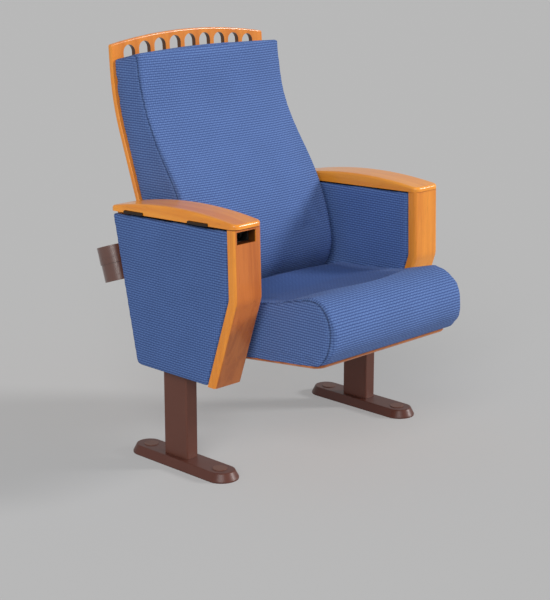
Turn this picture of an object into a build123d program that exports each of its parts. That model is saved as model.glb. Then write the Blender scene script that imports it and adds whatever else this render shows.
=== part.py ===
from build123d import *
from math import atan2, cos, degrees, radians, sin, tan
import os

os.makedirs("parts", exist_ok=True)

# Frame: +Y to the rear, +Z up, -X on the left as seen from the front, in millimetres.
# The origin lies on the floor at the centre of the four floor bolts.

# Feet and columns
FOOT_LENGTH = 320
FOOT_WIDTH = 76
FOOT_EDGE = 3
FOOT_HEIGHT = 20
FOOT_TAPER = 27
FOOT_ROUND = 3
FOOT_WALL = 9
FOOT_POCKET = 10
BOLT_SPACING = 230
BOLT_HOLE_R = 6
BOLT_PAD_R = 15
BOLT_LAND_R = 20
BOLT_SEAT_DEPTH = 9
CAP_DISC_R = 17
CAP_DISC_RISE = 1.5
COLUMN_WIDTH = 34
COLUMN_DEPTH = 76
COLUMN_WALL = 2.5
COLUMN_CORNER = 4
COLUMN_SETBACK = 12
COLUMN_TOP_Z = 532

# Widths across the chair, each from the seat outward or inward
SEAT_REAR_WIDTH = 472
SEAT_TAPER = 19
SEAT_SIDE_GAP = 19
BOARD_SIDE_GAP = 12
BOARD_MARGIN = 9
BACK_SEAM_INSET = 5
BACK_FACE_INSET = 14
SEAT_FRONT_WIDTH = SEAT_REAR_WIDTH - 2 * SEAT_TAPER
CLEAR_WIDTH = SEAT_REAR_WIDTH + 2 * SEAT_SIDE_GAP
BOARD_WIDTH = CLEAR_WIDTH - 2 * BOARD_SIDE_GAP
BACK_REAR_WIDTH = BOARD_WIDTH - 2 * BOARD_MARGIN
BACK_SEAM_WIDTH = BACK_REAR_WIDTH - 2 * BACK_SEAM_INSET
BACK_FACE_WIDTH = BACK_SEAM_WIDTH - 2 * BACK_FACE_INSET

# Arm boxes, side outline in Y and Z
ARM_WIDTH = 80
PANEL_T = 15
PANEL_EDGE = 3
PANEL_CORNER = 12
ARM_TOP_Z = 570
ARM_TOP_SLOPE = 2.1
ARM_BOTTOM_Z = 217
ARM_REAR_TOP_Y = 198
ARM_REAR_BOTTOM_Y = 124
POST_TOP_Y = -177
POST_KNEE_Y = -182
POST_KNEE_Z = 424
POST_BOTTOM_Y = -113
POST_T = 22
POST_KNEE_R = 30
POST_EDGE = 7
STRIP_T = 15
STRIP_RECESS = 2
SLOT_WIDTH = 56
SLOT_SHIFT = 5
SLOT_HEIGHT = 27
SLOT_DROP = 3

# Arm cap and lid
CAP_OVERHANG = 2
LID_GAP = 2
CAP_FRONT_Y = -203
CAP_REAR_Y = 203
CAP_CROWN = 28.5
CAP_FRONT_T = 10
CAP_REAR_T = 11
CAP_CORNER = 16
CAP_EDGE = 6
HINGE_Y = (120, -90)
HINGE_LENGTH = 63
HINGE_KNUCKLE = 20
HINGE_KNUCKLE_GAP = 0.5
HINGE_R = 3.4
HINGE_RISE = 1.8
HINGE_PIN_R = 1.75
HINGE_LEAF_T = 1.4
HINGE_LEAF_REACH = 13
RUN_GAP = 0.05

# Writing tablet stored in the lidded arm
TABLET_T = 12
TABLET_GAP = 3
TABLET_FRONT_Y = -140
TABLET_REAR_Y = 112
TABLET_BOTTOM_Z = 346
TABLET_TOP_Z = 548
TABLET_CORNER = 30
CLEVIS_T = 5
CLEVIS_DEPTH = 26
CLEVIS_DROP = 25
NECK_T = 6
NECK_WIDTH = 24
NECK_REACH = 92
NECK_FALL = 26
NECK_PIN_R = 4

# Back board and cushion
BOARD_T = 12
BOARD_BOTTOM_Z = 344
BOARD_FOOT_Y = 131
BOARD_CREST_Z = 942
BOARD_ARCH = 21
BOARD_SHOULDER_Z = BOARD_CREST_Z - BOARD_ARCH
BOARD_BEND_DROP = 147.4
BOARD_BEND_Z = BOARD_CREST_Z - BOARD_BEND_DROP
BOARD_BEND_R = 528
BOARD_LOWER_LEAN = 19.3
BOARD_UPPER_LEAN = 3.5
BOARD_CORNER = 5
BOARD_EDGE = 3
HOLE_COUNT = 9
HOLE_SPACING = 47.5
HOLE_WIDTH = 35
HOLE_HEIGHT = 48
HOLE_MARGIN = 11
BACK_CROWN = 6
BACK_SEAM_SHARE = 0.08
BACK_TRIM = 100
BACK_BOTTOM_Z = 348
BACK_REVEAL = 30
BACK_CREST_Z = BOARD_CREST_Z - BACK_REVEAL
BACK_ARCH = 6
BACK_SHOULDER_Z = BACK_CREST_Z - BACK_ARCH
BACK_CORNER = 10
BACK_TOP_FALL = 14
BACK_DEPTHS = (
    (0, 62),
    (0.035, 83),
    (0.112, 119),
    (0.218, 136),
    (0.332, 139),
    (0.464, 129),
    (0.622, 100),
    (0.78, 86),
    (0.886, 78),
    (1, 73),
)
BRACKET_T = 4
BRACKET_Z = 462
BRACKET_LENGTH = 140
BRACKET_FLANGE = 60
BRACKET_REACH = 62
SCREW_R = 5
SCREW_HEAD = 3
SCREW_SPREAD = 2 / 3

# Seat
SEAT_BOARD_T = 12
SEAT_SLOPE = 5
SEAT_BASE_Z = 249
SEAT_FRONT_Y = -336
SEAT_REAR_Y = 24
SEAT_CORNER = 24
SEAT_BULGE = 3
SEAT_DRAW = 8
SEAT_TOP_Z = 391
SEAT_DISH_Z = 395
SEAT_RIDGE_Y = -296
SEAT_RIDGE_Z = 429
SEAT_NOSE_Y = -377
SEAT_NOSE_Z = 347
SEAT_NOSE_CLEAR = 3
SEAT_RIDGE_R = 45
SEAT_REAR_R = 22
SEAT_ROLL_SHARE = (0.16, 0.6)
SEAT_CHIN_SHARE = (0.22, 0.55)

# Seat pivot
PIVOT_Y = -21
PIVOT_Z = 322
PIVOT_PIN_R = 8
BUSH_R = 11
BUSH_FLANGE_R = 15
BUSH_FLANGE_T = 3.5
BUSH_FACE_GAP = 0.5
PIN_END_GAP = 2
BOSS_R = 16
BOSS_GAP = 2
HOUSING_T = 6
HOUSING_REACH = 36
HOUSING_HEIGHT = 44
SIDE_PLATE_T = 5
SIDE_PLATE_GAP = 5.5
SIDE_PLATE_R = 24
SIDE_FLANGE_T = 4
SIDE_FLANGE_WIDTH = 52
SIDE_FLANGE_FRONT_Y = -100
SIDE_FLANGE_REAR_Y = -10
TAIL_LENGTH = 55
TAIL_TOP = 8
TAIL_DEPTH = 18
BUFFER_R = 8
BUFFER_GAP = 0.3

# Cup holder
CUP_RIM_Y = 247
CUP_RIM_Z = 470
CUP_HEIGHT = 82
CUP_LEAN = 18.5
CUP_R = 36
CUP_COLLAR = 1.5
CUP_COLLAR_HEIGHT = 27
CUP_WALL = 3
HOOP_T = 1.5
HOOP_HEIGHT = 14
HOOP_GAP = 0.2
STEM_WIDTH = 24
CUP_PLATE_T = 4
CUP_PLATE_WIDTH = 44
CUP_PLATE_HEIGHT = 64

# Places worked out from the driving dimensions
SIDES = (("left", -1), ("right", 1))
ARM_INNER_X = CLEAR_WIDTH / 2
ARM_OUTER_X = ARM_INNER_X + ARM_WIDTH
ARM_MID_X = ARM_INNER_X + ARM_WIDTH / 2
CAVITY_INNER_X = ARM_INNER_X + PANEL_T
CAVITY_OUTER_X = ARM_OUTER_X - PANEL_T
COLUMN_X = CAVITY_OUTER_X - COLUMN_WIDTH / 2
COLUMN_INNER_X = COLUMN_X - COLUMN_WIDTH / 2
SLOPE = radians(ARM_TOP_SLOPE)
SLOPE_AHEAD = (0, -cos(SLOPE), sin(SLOPE))
ARM_REAR_RISE = ARM_TOP_Z - ARM_REAR_TOP_Y * tan(SLOPE) - ARM_BOTTOM_Z
REAR_LEAN = atan2(ARM_REAR_TOP_Y - ARM_REAR_BOTTOM_Y, ARM_REAR_RISE)
LEAN = radians(BOARD_LOWER_LEAN)
BOARD_BEND_Y = BOARD_FOOT_Y + (BOARD_BEND_Z - BOARD_BOTTOM_Z) * tan(LEAN)
SIDE_PLATE_X = ARM_INNER_X - SIDE_PLATE_GAP - BUSH_FLANGE_T - SIDE_PLATE_T
BUSH_FACE_X = SIDE_PLATE_X + SIDE_PLATE_T + BUSH_FACE_GAP


def arm_top(y):
    """Height of the panels' sloping top edge."""
    return ARM_TOP_Z - y * tan(SLOPE)


def arm_rear(z):
    """Rear edge of the arm box at a height."""
    return ARM_REAR_BOTTOM_Y + (z - ARM_BOTTOM_Z) * tan(REAR_LEAN)


def lid_base(y):
    """Height of the lid's flat underside, clear of the panels."""
    return arm_top(y) + LID_GAP


def board_front(z):
    """Front face of the back board, as the two straight runs beside its bend."""
    lean = LEAN if z < BOARD_BEND_Z else radians(BOARD_UPPER_LEAN)
    return BOARD_BEND_Y + (z - BOARD_BEND_Z) * tan(lean)


def seat_base(y):
    """Underside of the sloping seat board."""
    return SEAT_BASE_Z - y * tan(radians(SEAT_SLOPE))


def part_way(start, end, shares):
    """Point the given shares of the way from one point to another."""
    return tuple(a + share * (b - a) for a, b, share in zip(start, end, shares))


def save(piece, node):
    """Name a finished piece and write it."""
    piece.part.label = node
    export_step(piece.part, f"parts/{node}.step")


def side_slab(inner_x, outer_x, sign):
    """Plane on the low-X face of a slab beside one arm, and its thickness."""
    low_x = inner_x if sign > 0 else -outer_x
    return Plane.YZ.offset(low_x), outer_x - inner_x


# Feet: a tapered casting with a pocket underneath and two bolt seats
for side, sign in SIDES:
    foot_x = sign * COLUMN_X
    floor = Plane((foot_x, 0, 0))
    bolt_places = [(0, -BOLT_SPACING / 2), (0, BOLT_SPACING / 2)]
    with BuildPart() as foot:
        with BuildSketch(floor):
            SlotOverall(FOOT_LENGTH, FOOT_WIDTH, rotation=90)
        extrude(amount=FOOT_EDGE)
        with BuildSketch(floor.offset(FOOT_EDGE)):
            SlotOverall(FOOT_LENGTH, FOOT_WIDTH, rotation=90)
        extrude(amount=FOOT_HEIGHT - FOOT_EDGE, taper=FOOT_TAPER)
        fillet(foot.faces().sort_by(Axis.Z)[-1].edges(), FOOT_ROUND)
        with BuildSketch(floor):
            SlotOverall(FOOT_LENGTH - 2 * FOOT_WALL, FOOT_WIDTH - 2 * FOOT_WALL, rotation=90)
            with Locations(*bolt_places):
                Circle(BOLT_LAND_R, mode=Mode.SUBTRACT)
        extrude(amount=FOOT_POCKET, mode=Mode.SUBTRACT)
        with BuildSketch(floor):
            with Locations(*bolt_places):
                Circle(BOLT_HOLE_R)
        extrude(amount=FOOT_HEIGHT, mode=Mode.SUBTRACT)
        with BuildSketch(floor.offset(FOOT_HEIGHT)):
            with Locations(*bolt_places):
                Circle(BOLT_PAD_R)
        extrude(amount=-BOLT_SEAT_DEPTH, mode=Mode.SUBTRACT)
    save(foot, f"{side}_foot")

    # Column: a rectangular tube closed by a plate at its top
    with BuildPart() as column:
        with BuildSketch(Plane((foot_x, COLUMN_SETBACK, FOOT_HEIGHT))):
            RectangleRounded(COLUMN_WIDTH, COLUMN_DEPTH, COLUMN_CORNER)
            inner_width = COLUMN_WIDTH - 2 * COLUMN_WALL
            inner_depth = COLUMN_DEPTH - 2 * COLUMN_WALL
            Rectangle(inner_width, inner_depth, mode=Mode.SUBTRACT)
        extrude(amount=COLUMN_TOP_Z - FOOT_HEIGHT)
        with BuildSketch(Plane((foot_x, COLUMN_SETBACK, COLUMN_TOP_Z))):
            RectangleRounded(COLUMN_WIDTH, COLUMN_DEPTH, COLUMN_CORNER)
        extrude(amount=-COLUMN_WALL)
    save(column, f"{side}_column")

# Bolt caps: low discs over the four floor bolts
with BuildPart() as foot_bolt_caps:
    with BuildSketch(Plane.XY.offset(FOOT_HEIGHT)):
        with GridLocations(2 * COLUMN_X, BOLT_SPACING, 2, 2):
            Circle(CAP_DISC_R)
    extrude(amount=CAP_DISC_RISE)
    chamfer(foot_bolt_caps.edges().group_by(Axis.Z)[-1], CAP_DISC_RISE / 2)
save(foot_bolt_caps, "foot_bolt_caps")


# Arm boxes
def arm_panel(inner_x, sign, faces_out):
    """Upholstered panel of an arm box, its show face softened all round."""
    plane, thickness = side_slab(inner_x, inner_x + PANEL_T, sign)
    with BuildPart() as panel:
        with BuildSketch(plane) as outline:
            with BuildLine():
                Polyline(
                    (POST_TOP_Y, arm_top(POST_TOP_Y)),
                    (ARM_REAR_TOP_Y, arm_top(ARM_REAR_TOP_Y)),
                    (ARM_REAR_BOTTOM_Y, ARM_BOTTOM_Z),
                    (POST_BOTTOM_Y, ARM_BOTTOM_Z),
                    (POST_KNEE_Y, POST_KNEE_Z),
                    close=True,
                )
            make_face()
            fillet(outline.vertices().group_by(Axis.Y)[0].sort_by(Axis.X)[-1], PANEL_CORNER)
            fillet(outline.vertices().sort_by(Axis.X)[0], POST_KNEE_R)
        extrude(amount=thickness)
        show_face = panel.faces().sort_by(Axis.X)[-1 if faces_out == (sign > 0) else 0]
        fillet(show_face.edges(), PANEL_EDGE)
        if not faces_out:
            with BuildSketch(plane):
                with Locations((PIVOT_Y, PIVOT_Z)):
                    Circle(BOSS_R + BOSS_GAP)
            extrude(amount=thickness, mode=Mode.SUBTRACT)
    return panel


for side, sign in SIDES:
    save(arm_panel(CAVITY_OUTER_X, sign, True), f"{side}_outer_panel")
    save(arm_panel(ARM_INNER_X, sign, False), f"{side}_inner_panel")

    # Front post: bent wood with a knee, rounded along its show edges
    arm_plane, arm_width = side_slab(ARM_INNER_X, ARM_OUTER_X, sign)
    lower_run = (POST_BOTTOM_Y - POST_KNEE_Y) / (POST_KNEE_Z - ARM_BOTTOM_Z)
    with BuildPart() as post:
        with BuildSketch(arm_plane):
            with BuildLine():
                Polyline(
                    (POST_TOP_Y, arm_top(POST_TOP_Y) + POST_T),
                    (POST_KNEE_Y, POST_KNEE_Z),
                    (POST_BOTTOM_Y + lower_run * POST_T, ARM_BOTTOM_Z - POST_T),
                )
                offset(amount=POST_T, side=Side.RIGHT, kind=Kind.INTERSECTION)
            make_face()
        extrude(amount=arm_width)
        split(bisect_by=Plane((0, 0, ARM_TOP_Z), z_dir=(0, sin(SLOPE), cos(SLOPE))), keep=Keep.BOTTOM)
        split(bisect_by=Plane.XY.offset(ARM_BOTTOM_Z), keep=Keep.TOP)
        knees = post.edges().filter_by(Axis.X).sort_by(Axis.Z)[2:4].sort_by(Axis.Y)
        fillet(knees[1], POST_KNEE_R)
        fillet(knees[0], POST_KNEE_R + POST_T)
        show_faces = post.faces().filter_by(lambda face: face.normal_at().Y < -0.5)
        fillet(show_faces.edges().filter_by(Axis.X, reverse=True), POST_EDGE)
        if sign < 0:
            slot_z = arm_top(POST_TOP_Y) - SLOT_DROP - SLOT_HEIGHT / 2
            with BuildSketch(Plane.XZ.offset(-POST_TOP_Y)):
                with Locations((sign * (ARM_MID_X + SLOT_SHIFT), slot_z)):
                    Rectangle(SLOT_WIDTH, SLOT_HEIGHT)
            extrude(amount=2 * POST_T, both=True, mode=Mode.SUBTRACT)
    save(post, f"{side}_front_post")

    # Rear strip: closes the box between the two panels
    strip_plane, strip_width = side_slab(CAVITY_INNER_X, CAVITY_OUTER_X, sign)
    strip_run = STRIP_T / cos(REAR_LEAN)
    strip_top = ARM_REAR_TOP_Y - STRIP_RECESS
    strip_foot = ARM_REAR_BOTTOM_Y - STRIP_RECESS
    with BuildPart() as strip:
        with BuildSketch(strip_plane):
            with BuildLine():
                Polyline(
                    (strip_top, arm_top(ARM_REAR_TOP_Y)),
                    (strip_foot, ARM_BOTTOM_Z),
                    (strip_foot - strip_run, ARM_BOTTOM_Z),
                    (strip_top - strip_run, arm_top(ARM_REAR_TOP_Y)),
                    close=True,
                )
            make_face()
        extrude(amount=strip_width)
    save(strip, f"{side}_rear_strip")


# Arm cap and lid: flat below, crowned above, with rounded ends
def arm_cap(sign, gap):
    """Crowned wooden cap over one arm box, raised by a gap where it is a lid."""
    plane, width = side_slab(ARM_INNER_X - CAP_OVERHANG, ARM_OUTER_X + CAP_OVERHANG, sign)
    crown_y = (CAP_FRONT_Y + CAP_REAR_Y) / 2
    front = (CAP_FRONT_Y, arm_top(CAP_FRONT_Y) + gap)
    rear = (CAP_REAR_Y, arm_top(CAP_REAR_Y) + gap)
    front_top = (CAP_FRONT_Y, front[1] + CAP_FRONT_T)
    rear_top = (CAP_REAR_Y, rear[1] + CAP_REAR_T)
    with BuildPart() as cap:
        with BuildSketch(plane):
            with BuildLine():
                Polyline(front_top, front, rear, rear_top)
                ThreePointArc(rear_top, (crown_y, arm_top(crown_y) + gap + CAP_CROWN), front_top)
            make_face()
        extrude(amount=width)
        fillet(cap.edges().filter_by(Axis.Z), CAP_CORNER)
        crown = cap.faces().sort_by(Axis.Z)[-1]
        fillet(crown.edges(), CAP_EDGE)
    return cap


save(arm_cap(1, 0), "right_arm_cap")

HINGE_X = -(ARM_OUTER_X + CAP_OVERHANG)
LEAF_BACK_X = HINGE_R + 2 * HINGE_KNUCKLE_GAP


def hinge_plane(y):
    """Plane square to the lid's hinge axis, X outboard to inboard and Y upward."""
    return Plane((HINGE_X, y, lid_base(y) + HINGE_RISE), x_dir=(1, 0, 0), z_dir=SLOPE_AHEAD)


def knuckle(plane, start, length, bore_r):
    """Barrel of a hinge leaf around the pin."""
    with BuildSketch(plane.offset(start)) as ring:
        Circle(HINGE_R)
        Circle(bore_r, mode=Mode.SUBTRACT)
    extrude(ring.sketch, amount=length)


lid_blank = arm_cap(-1, LID_GAP)
with BuildPart() as left_arm_lid:
    add(lid_blank.part)
    for hinge_y in HINGE_Y:
        with BuildSketch(hinge_plane(hinge_y)):
            Rectangle(2 * LEAF_BACK_X, 2 * LEAF_BACK_X)
            with Locations((LEAF_BACK_X, HINGE_LEAF_T - HINGE_RISE)):
                Rectangle(HINGE_LEAF_REACH, HINGE_LEAF_T + HINGE_RISE, align=(Align.MIN, Align.MAX))
        extrude(amount=HINGE_LENGTH / 2, both=True, mode=Mode.SUBTRACT)
save(left_arm_lid, "left_arm_lid")

with BuildPart() as lid_hinge_fixed_leaves:
    for hinge_y in HINGE_Y:
        plane = hinge_plane(hinge_y)
        leaf_z = -(HINGE_RISE + LID_GAP) * cos(SLOPE)
        with BuildSketch(plane):
            with Locations((LEAF_BACK_X, leaf_z)):
                Rectangle(HINGE_LEAF_REACH, HINGE_LEAF_T, align=(Align.MIN, Align.MIN))
        extrude(amount=HINGE_LENGTH / 2, both=True)
        with BuildSketch(plane):
            with Locations((0, leaf_z)):
                Rectangle(LEAF_BACK_X, HINGE_LEAF_T, align=(Align.MIN, Align.MIN))
            Circle(HINGE_PIN_R, mode=Mode.SUBTRACT)
        extrude(amount=HINGE_KNUCKLE / 2, both=True)
        knuckle(plane, -HINGE_KNUCKLE / 2, HINGE_KNUCKLE, HINGE_PIN_R)
save(lid_hinge_fixed_leaves, "lid_hinge_fixed_leaves")

with BuildPart() as lid_hinge_moving_leaves:
    end_start = HINGE_KNUCKLE / 2 + HINGE_KNUCKLE_GAP
    end_length = HINGE_LENGTH / 2 - end_start
    for hinge_y in HINGE_Y:
        plane = hinge_plane(hinge_y)
        with BuildSketch(plane):
            with Locations((0, -HINGE_RISE)):
                Rectangle(LEAF_BACK_X + HINGE_LEAF_REACH, HINGE_LEAF_T, align=(Align.MIN, Align.MIN))
        extrude(amount=HINGE_LENGTH / 2, both=True)
        with BuildSketch(plane):
            Circle(HINGE_R + HINGE_KNUCKLE_GAP)
        extrude(amount=end_start, both=True, mode=Mode.SUBTRACT)
        knuckle(plane, end_start, end_length, HINGE_PIN_R + RUN_GAP)
        knuckle(plane, -HINGE_LENGTH / 2, end_length, HINGE_PIN_R + RUN_GAP)
        with BuildSketch(plane):
            Circle(HINGE_PIN_R + RUN_GAP)
        extrude(amount=HINGE_LENGTH / 2, both=True, mode=Mode.SUBTRACT)
save(lid_hinge_moving_leaves, "lid_hinge_moving_leaves")

with BuildPart() as lid_hinge_pins:
    for hinge_y in HINGE_Y:
        with BuildSketch(hinge_plane(hinge_y)):
            Circle(HINGE_PIN_R)
        extrude(amount=HINGE_LENGTH / 2, both=True)
save(lid_hinge_pins, "lid_hinge_pins")

# Writing tablet, standing in the box beside the column
TABLET_OUTER_X = COLUMN_INNER_X - TABLET_GAP
tablet_plane, tablet_t = side_slab(TABLET_OUTER_X - TABLET_T, TABLET_OUTER_X, -1)
with BuildPart() as tablet_board:
    with BuildSketch(tablet_plane):
        with Locations(((TABLET_FRONT_Y + TABLET_REAR_Y) / 2, (TABLET_BOTTOM_Z + TABLET_TOP_Z) / 2)):
            RectangleRounded(TABLET_REAR_Y - TABLET_FRONT_Y, TABLET_TOP_Z - TABLET_BOTTOM_Z, TABLET_CORNER)
    extrude(amount=tablet_t)
save(tablet_board, "tablet_board")

# Clevis behind the slot, with cheeks either side of the tablet's neck
SLOT_TOP_Z = arm_top(POST_TOP_Y) - SLOT_DROP
SLOT_FOOT_Z = SLOT_TOP_Z - SLOT_HEIGHT
NECK_PIN_Y = POST_TOP_Y + CLEVIS_DEPTH / 2 + CLEVIS_T
NECK_PIN_Z = (SLOT_TOP_Z + SLOT_FOOT_Z) / 2
CLEVIS_FOOT_Z = SLOT_FOOT_Z - CLEVIS_DROP
with BuildPart() as tablet_clevis:
    with BuildSketch(Plane((-ARM_MID_X, 0, CLEVIS_FOOT_Z))):
        with Locations((0, POST_TOP_Y)):
            Rectangle(CAVITY_OUTER_X - CAVITY_INNER_X, CLEVIS_DEPTH, align=(Align.CENTER, Align.MIN))
    extrude(amount=SLOT_TOP_Z - CLEVIS_FOOT_Z)
    with BuildSketch(Plane((-ARM_MID_X, 0, SLOT_FOOT_Z))):
        with Locations((0, POST_TOP_Y)):
            cheek_gap = CAVITY_OUTER_X - CAVITY_INNER_X - 2 * CLEVIS_T
            Rectangle(cheek_gap, CLEVIS_DEPTH, align=(Align.CENTER, Align.MIN))
    extrude(amount=SLOT_HEIGHT, mode=Mode.SUBTRACT)
    with BuildSketch(Plane((-ARM_MID_X, 0, CLEVIS_FOOT_Z))):
        with Locations((0, POST_TOP_Y + CLEVIS_T)):
            Rectangle(cheek_gap, CLEVIS_DEPTH, align=(Align.CENTER, Align.MIN))
    extrude(amount=SLOT_HEIGHT, mode=Mode.SUBTRACT)
    with BuildSketch(Plane.YZ.offset(-CAVITY_OUTER_X)):
        with Locations((NECK_PIN_Y, NECK_PIN_Z)):
            Circle(NECK_PIN_R)
    extrude(amount=CAVITY_OUTER_X - CAVITY_INNER_X, mode=Mode.SUBTRACT)
save(tablet_clevis, "tablet_clevis")

with BuildPart() as tablet_pivot_pin:
    with BuildSketch(Plane.YZ.offset(-CAVITY_OUTER_X)):
        with Locations((NECK_PIN_Y, NECK_PIN_Z)):
            Circle(NECK_PIN_R)
    extrude(amount=CAVITY_OUTER_X - CAVITY_INNER_X)
save(tablet_pivot_pin, "tablet_pivot_pin")

# Neck: a flat bar with an eye on the pin, fixed along the tablet's face
neck_plane, neck_t = side_slab(TABLET_OUTER_X, TABLET_OUTER_X + NECK_T, -1)
with BuildPart() as tablet_neck:
    with BuildSketch(neck_plane):
        with Locations((NECK_PIN_Y + NECK_REACH / 2, NECK_PIN_Z - NECK_FALL / 2)):
            neck_angle = degrees(atan2(-NECK_FALL, NECK_REACH))
            SlotCenterToCenter(NECK_REACH, NECK_WIDTH, rotation=neck_angle)
        with Locations((NECK_PIN_Y, NECK_PIN_Z)):
            Circle(NECK_PIN_R + RUN_GAP, mode=Mode.SUBTRACT)
    extrude(amount=neck_t)
save(tablet_neck, "tablet_neck")


# Back board: one bent sheet, arched at the crest over a row of holes
def board_spine():
    """Front face of the bent sheet, drawn upward in the side view."""
    crest = BOARD_CREST_Z + BOARD_T
    return FilletPolyline(
        (board_front(BOARD_BOTTOM_Z), BOARD_BOTTOM_Z),
        (BOARD_BEND_Y, BOARD_BEND_Z),
        (board_front(crest), crest),
        radius=BOARD_BEND_R,
    )


def bent_sheet(thickness, width):
    """Sheet of the given thickness behind the board's front face."""
    with BuildPart() as sheet:
        with BuildSketch(Plane.YZ):
            with BuildLine():
                board_spine()
                offset(amount=thickness, side=Side.RIGHT)
            make_face()
        extrude(amount=width / 2, both=True)
    return sheet


def arched_outline(plane, width, foot_z, shoulder_z, crest_z, corner_r):
    """Front view of a panel with an arched top and rounded corners."""
    half = width / 2
    with BuildSketch(plane) as outline:
        with BuildLine():
            Polyline((-half, shoulder_z), (-half, foot_z), (half, foot_z), (half, shoulder_z))
            ThreePointArc((half, shoulder_z), (0, crest_z), (-half, shoulder_z))
        make_face()
        fillet(outline.vertices(), corner_r)
    return outline


REACH_Y = 2 * BOARD_BEND_Y
CREST_DROP = (BOARD_CREST_Z - BOARD_SHOULDER_Z) / (BOARD_WIDTH / 2) ** 2
board_blank = bent_sheet(BOARD_T, BOARD_WIDTH)
board_outline = arched_outline(
    Plane.XZ, BOARD_WIDTH, BOARD_BOTTOM_Z, BOARD_SHOULDER_Z, BOARD_CREST_Z, BOARD_CORNER
)
with BuildPart() as back_board:
    add(board_blank.part)
    extrude(board_outline.sketch, amount=REACH_Y, both=True, mode=Mode.INTERSECT)
    sheet_faces = back_board.faces().filter_by(lambda face: abs(face.normal_at().Y) > 0.5)
    fillet(sheet_faces.edges().filter_by(Axis.X, reverse=True), BOARD_EDGE)
    for index in range(HOLE_COUNT):
        hole_x = (index - (HOLE_COUNT - 1) / 2) * HOLE_SPACING
        hole_z = BOARD_CREST_Z - CREST_DROP * hole_x**2 - HOLE_MARGIN - HOLE_HEIGHT / 2
        with BuildSketch(Plane.XZ):
            with Locations((hole_x, hole_z)):
                SlotOverall(HOLE_HEIGHT, HOLE_WIDTH, rotation=90)
        extrude(amount=-REACH_Y, mode=Mode.SUBTRACT)
save(back_board, "back_board")


# Back cushion: lofted through level sections, fuller at the loins, its top falling to the rear
def back_section(z, depth):
    """Level section of the back cushion, seams at the rear of its rounded corners."""
    rear_y = board_front(z) + BOARD_T
    front_y = board_front(z) - depth
    seam_y = front_y + BACK_SEAM_SHARE * depth
    rear, seam, face = BACK_REAR_WIDTH / 2, BACK_SEAM_WIDTH / 2, BACK_FACE_WIDTH / 2
    elbow_x = face + (seam - face) * cos(radians(45))
    elbow_y = seam_y - (seam_y - front_y) * sin(radians(45))
    with BuildSketch(Plane.XY.offset(z)) as section:
        with BuildLine():
            Polyline((-seam, seam_y), (-rear, rear_y), (rear, rear_y), (seam, seam_y))
            ThreePointArc((seam, seam_y), (elbow_x, elbow_y), (face, front_y))
            ThreePointArc((face, front_y), (0, front_y - BACK_CROWN), (-face, front_y))
            ThreePointArc((-face, front_y), (-elbow_x, elbow_y), (-seam, seam_y))
        make_face()
    return section.sketch


BACK_RISE = BACK_CREST_Z - BACK_BOTTOM_Z
back_sections = [
    back_section(BACK_BOTTOM_Z + share * BACK_RISE, depth) for share, depth in BACK_DEPTHS
]
top_front_y = board_front(BACK_CREST_Z) - BACK_DEPTHS[-1][1]
back_outline = arched_outline(
    Plane.XZ.offset(-top_front_y), BACK_REAR_WIDTH, 0, BACK_SHOULDER_Z, BACK_CREST_Z, BACK_CORNER
)
back_fall = radians(BACK_TOP_FALL)
top_fall = (0, cos(back_fall), -sin(back_fall))
behind_front = bent_sheet(BACK_TRIM, BOARD_WIDTH)
with BuildPart() as back_cushion:
    loft(back_sections)
    extrude(back_outline.sketch, amount=REACH_Y, dir=top_fall, both=True, mode=Mode.INTERSECT)
    add(behind_front.part, mode=Mode.SUBTRACT)
save(back_cushion, "back_cushion")

# Back brackets: angle irons from the arm boxes to the board's rear face
rear_at_bracket = board_front(BRACKET_Z) + BOARD_T / cos(LEAN)
for side, sign in SIDES:
    along_board = (0, sin(LEAN), cos(LEAN))
    bracket_plane = Plane((0, rear_at_bracket, BRACKET_Z), x_dir=(1, 0, 0), z_dir=along_board)
    with BuildPart() as bracket:
        with BuildSketch(bracket_plane):
            with Locations((sign * (ARM_INNER_X - BRACKET_FLANGE / 2), BRACKET_T / 2)):
                Rectangle(BRACKET_FLANGE, BRACKET_T)
            with Locations((sign * (ARM_INNER_X - BRACKET_T / 2), (BRACKET_T - BRACKET_REACH) / 2)):
                Rectangle(BRACKET_T, BRACKET_T + BRACKET_REACH)
        extrude(amount=BRACKET_LENGTH / 2, both=True)
    save(bracket, f"{side}_back_bracket")

with BuildPart() as back_screws:
    flange_out = (0, cos(LEAN), -sin(LEAN))
    flange_y = rear_at_bracket + BRACKET_T * cos(LEAN)
    flange_z = BRACKET_Z - BRACKET_T * sin(LEAN)
    with BuildSketch(Plane((0, flange_y, flange_z), x_dir=(1, 0, 0), z_dir=flange_out)):
        with GridLocations(2 * (ARM_INNER_X - BRACKET_FLANGE / 2), BRACKET_LENGTH / 2, 2, 2):
            Circle(SCREW_R)
    extrude(amount=SCREW_HEAD)
save(back_screws, "back_screws")

# Seat board: a tapered sheet on the seat's slope
SEAT_TILT = radians(SEAT_SLOPE)
SEAT_UP = (0, sin(SEAT_TILT), cos(SEAT_TILT))
seat_plane = Plane((0, 0, SEAT_BASE_Z), x_dir=(1, 0, 0), z_dir=SEAT_UP)


def seat_plan(plane, front_y, grow):
    """Plan outline of the seat, wider at the rear, its sides moved out by a little."""
    front = SEAT_FRONT_WIDTH / 2 + grow
    rear = SEAT_REAR_WIDTH / 2 + grow
    with BuildSketch(plane) as outline:
        with BuildLine():
            Polyline(
                (-front, front_y), (front, front_y), (rear, SEAT_REAR_Y), (-rear, SEAT_REAR_Y), close=True
            )
        make_face()
        fillet(outline.vertices(), SEAT_CORNER)
    return outline.sketch


with BuildPart() as seat_board:
    extrude(seat_plan(seat_plane, SEAT_FRONT_Y, 0), amount=SEAT_BOARD_T)
    chamfer(seat_board.faces().sort_by(Axis.Z)[0].edges(), SEAT_BOARD_T / 4)
save(seat_board, "seat_board")

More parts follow.
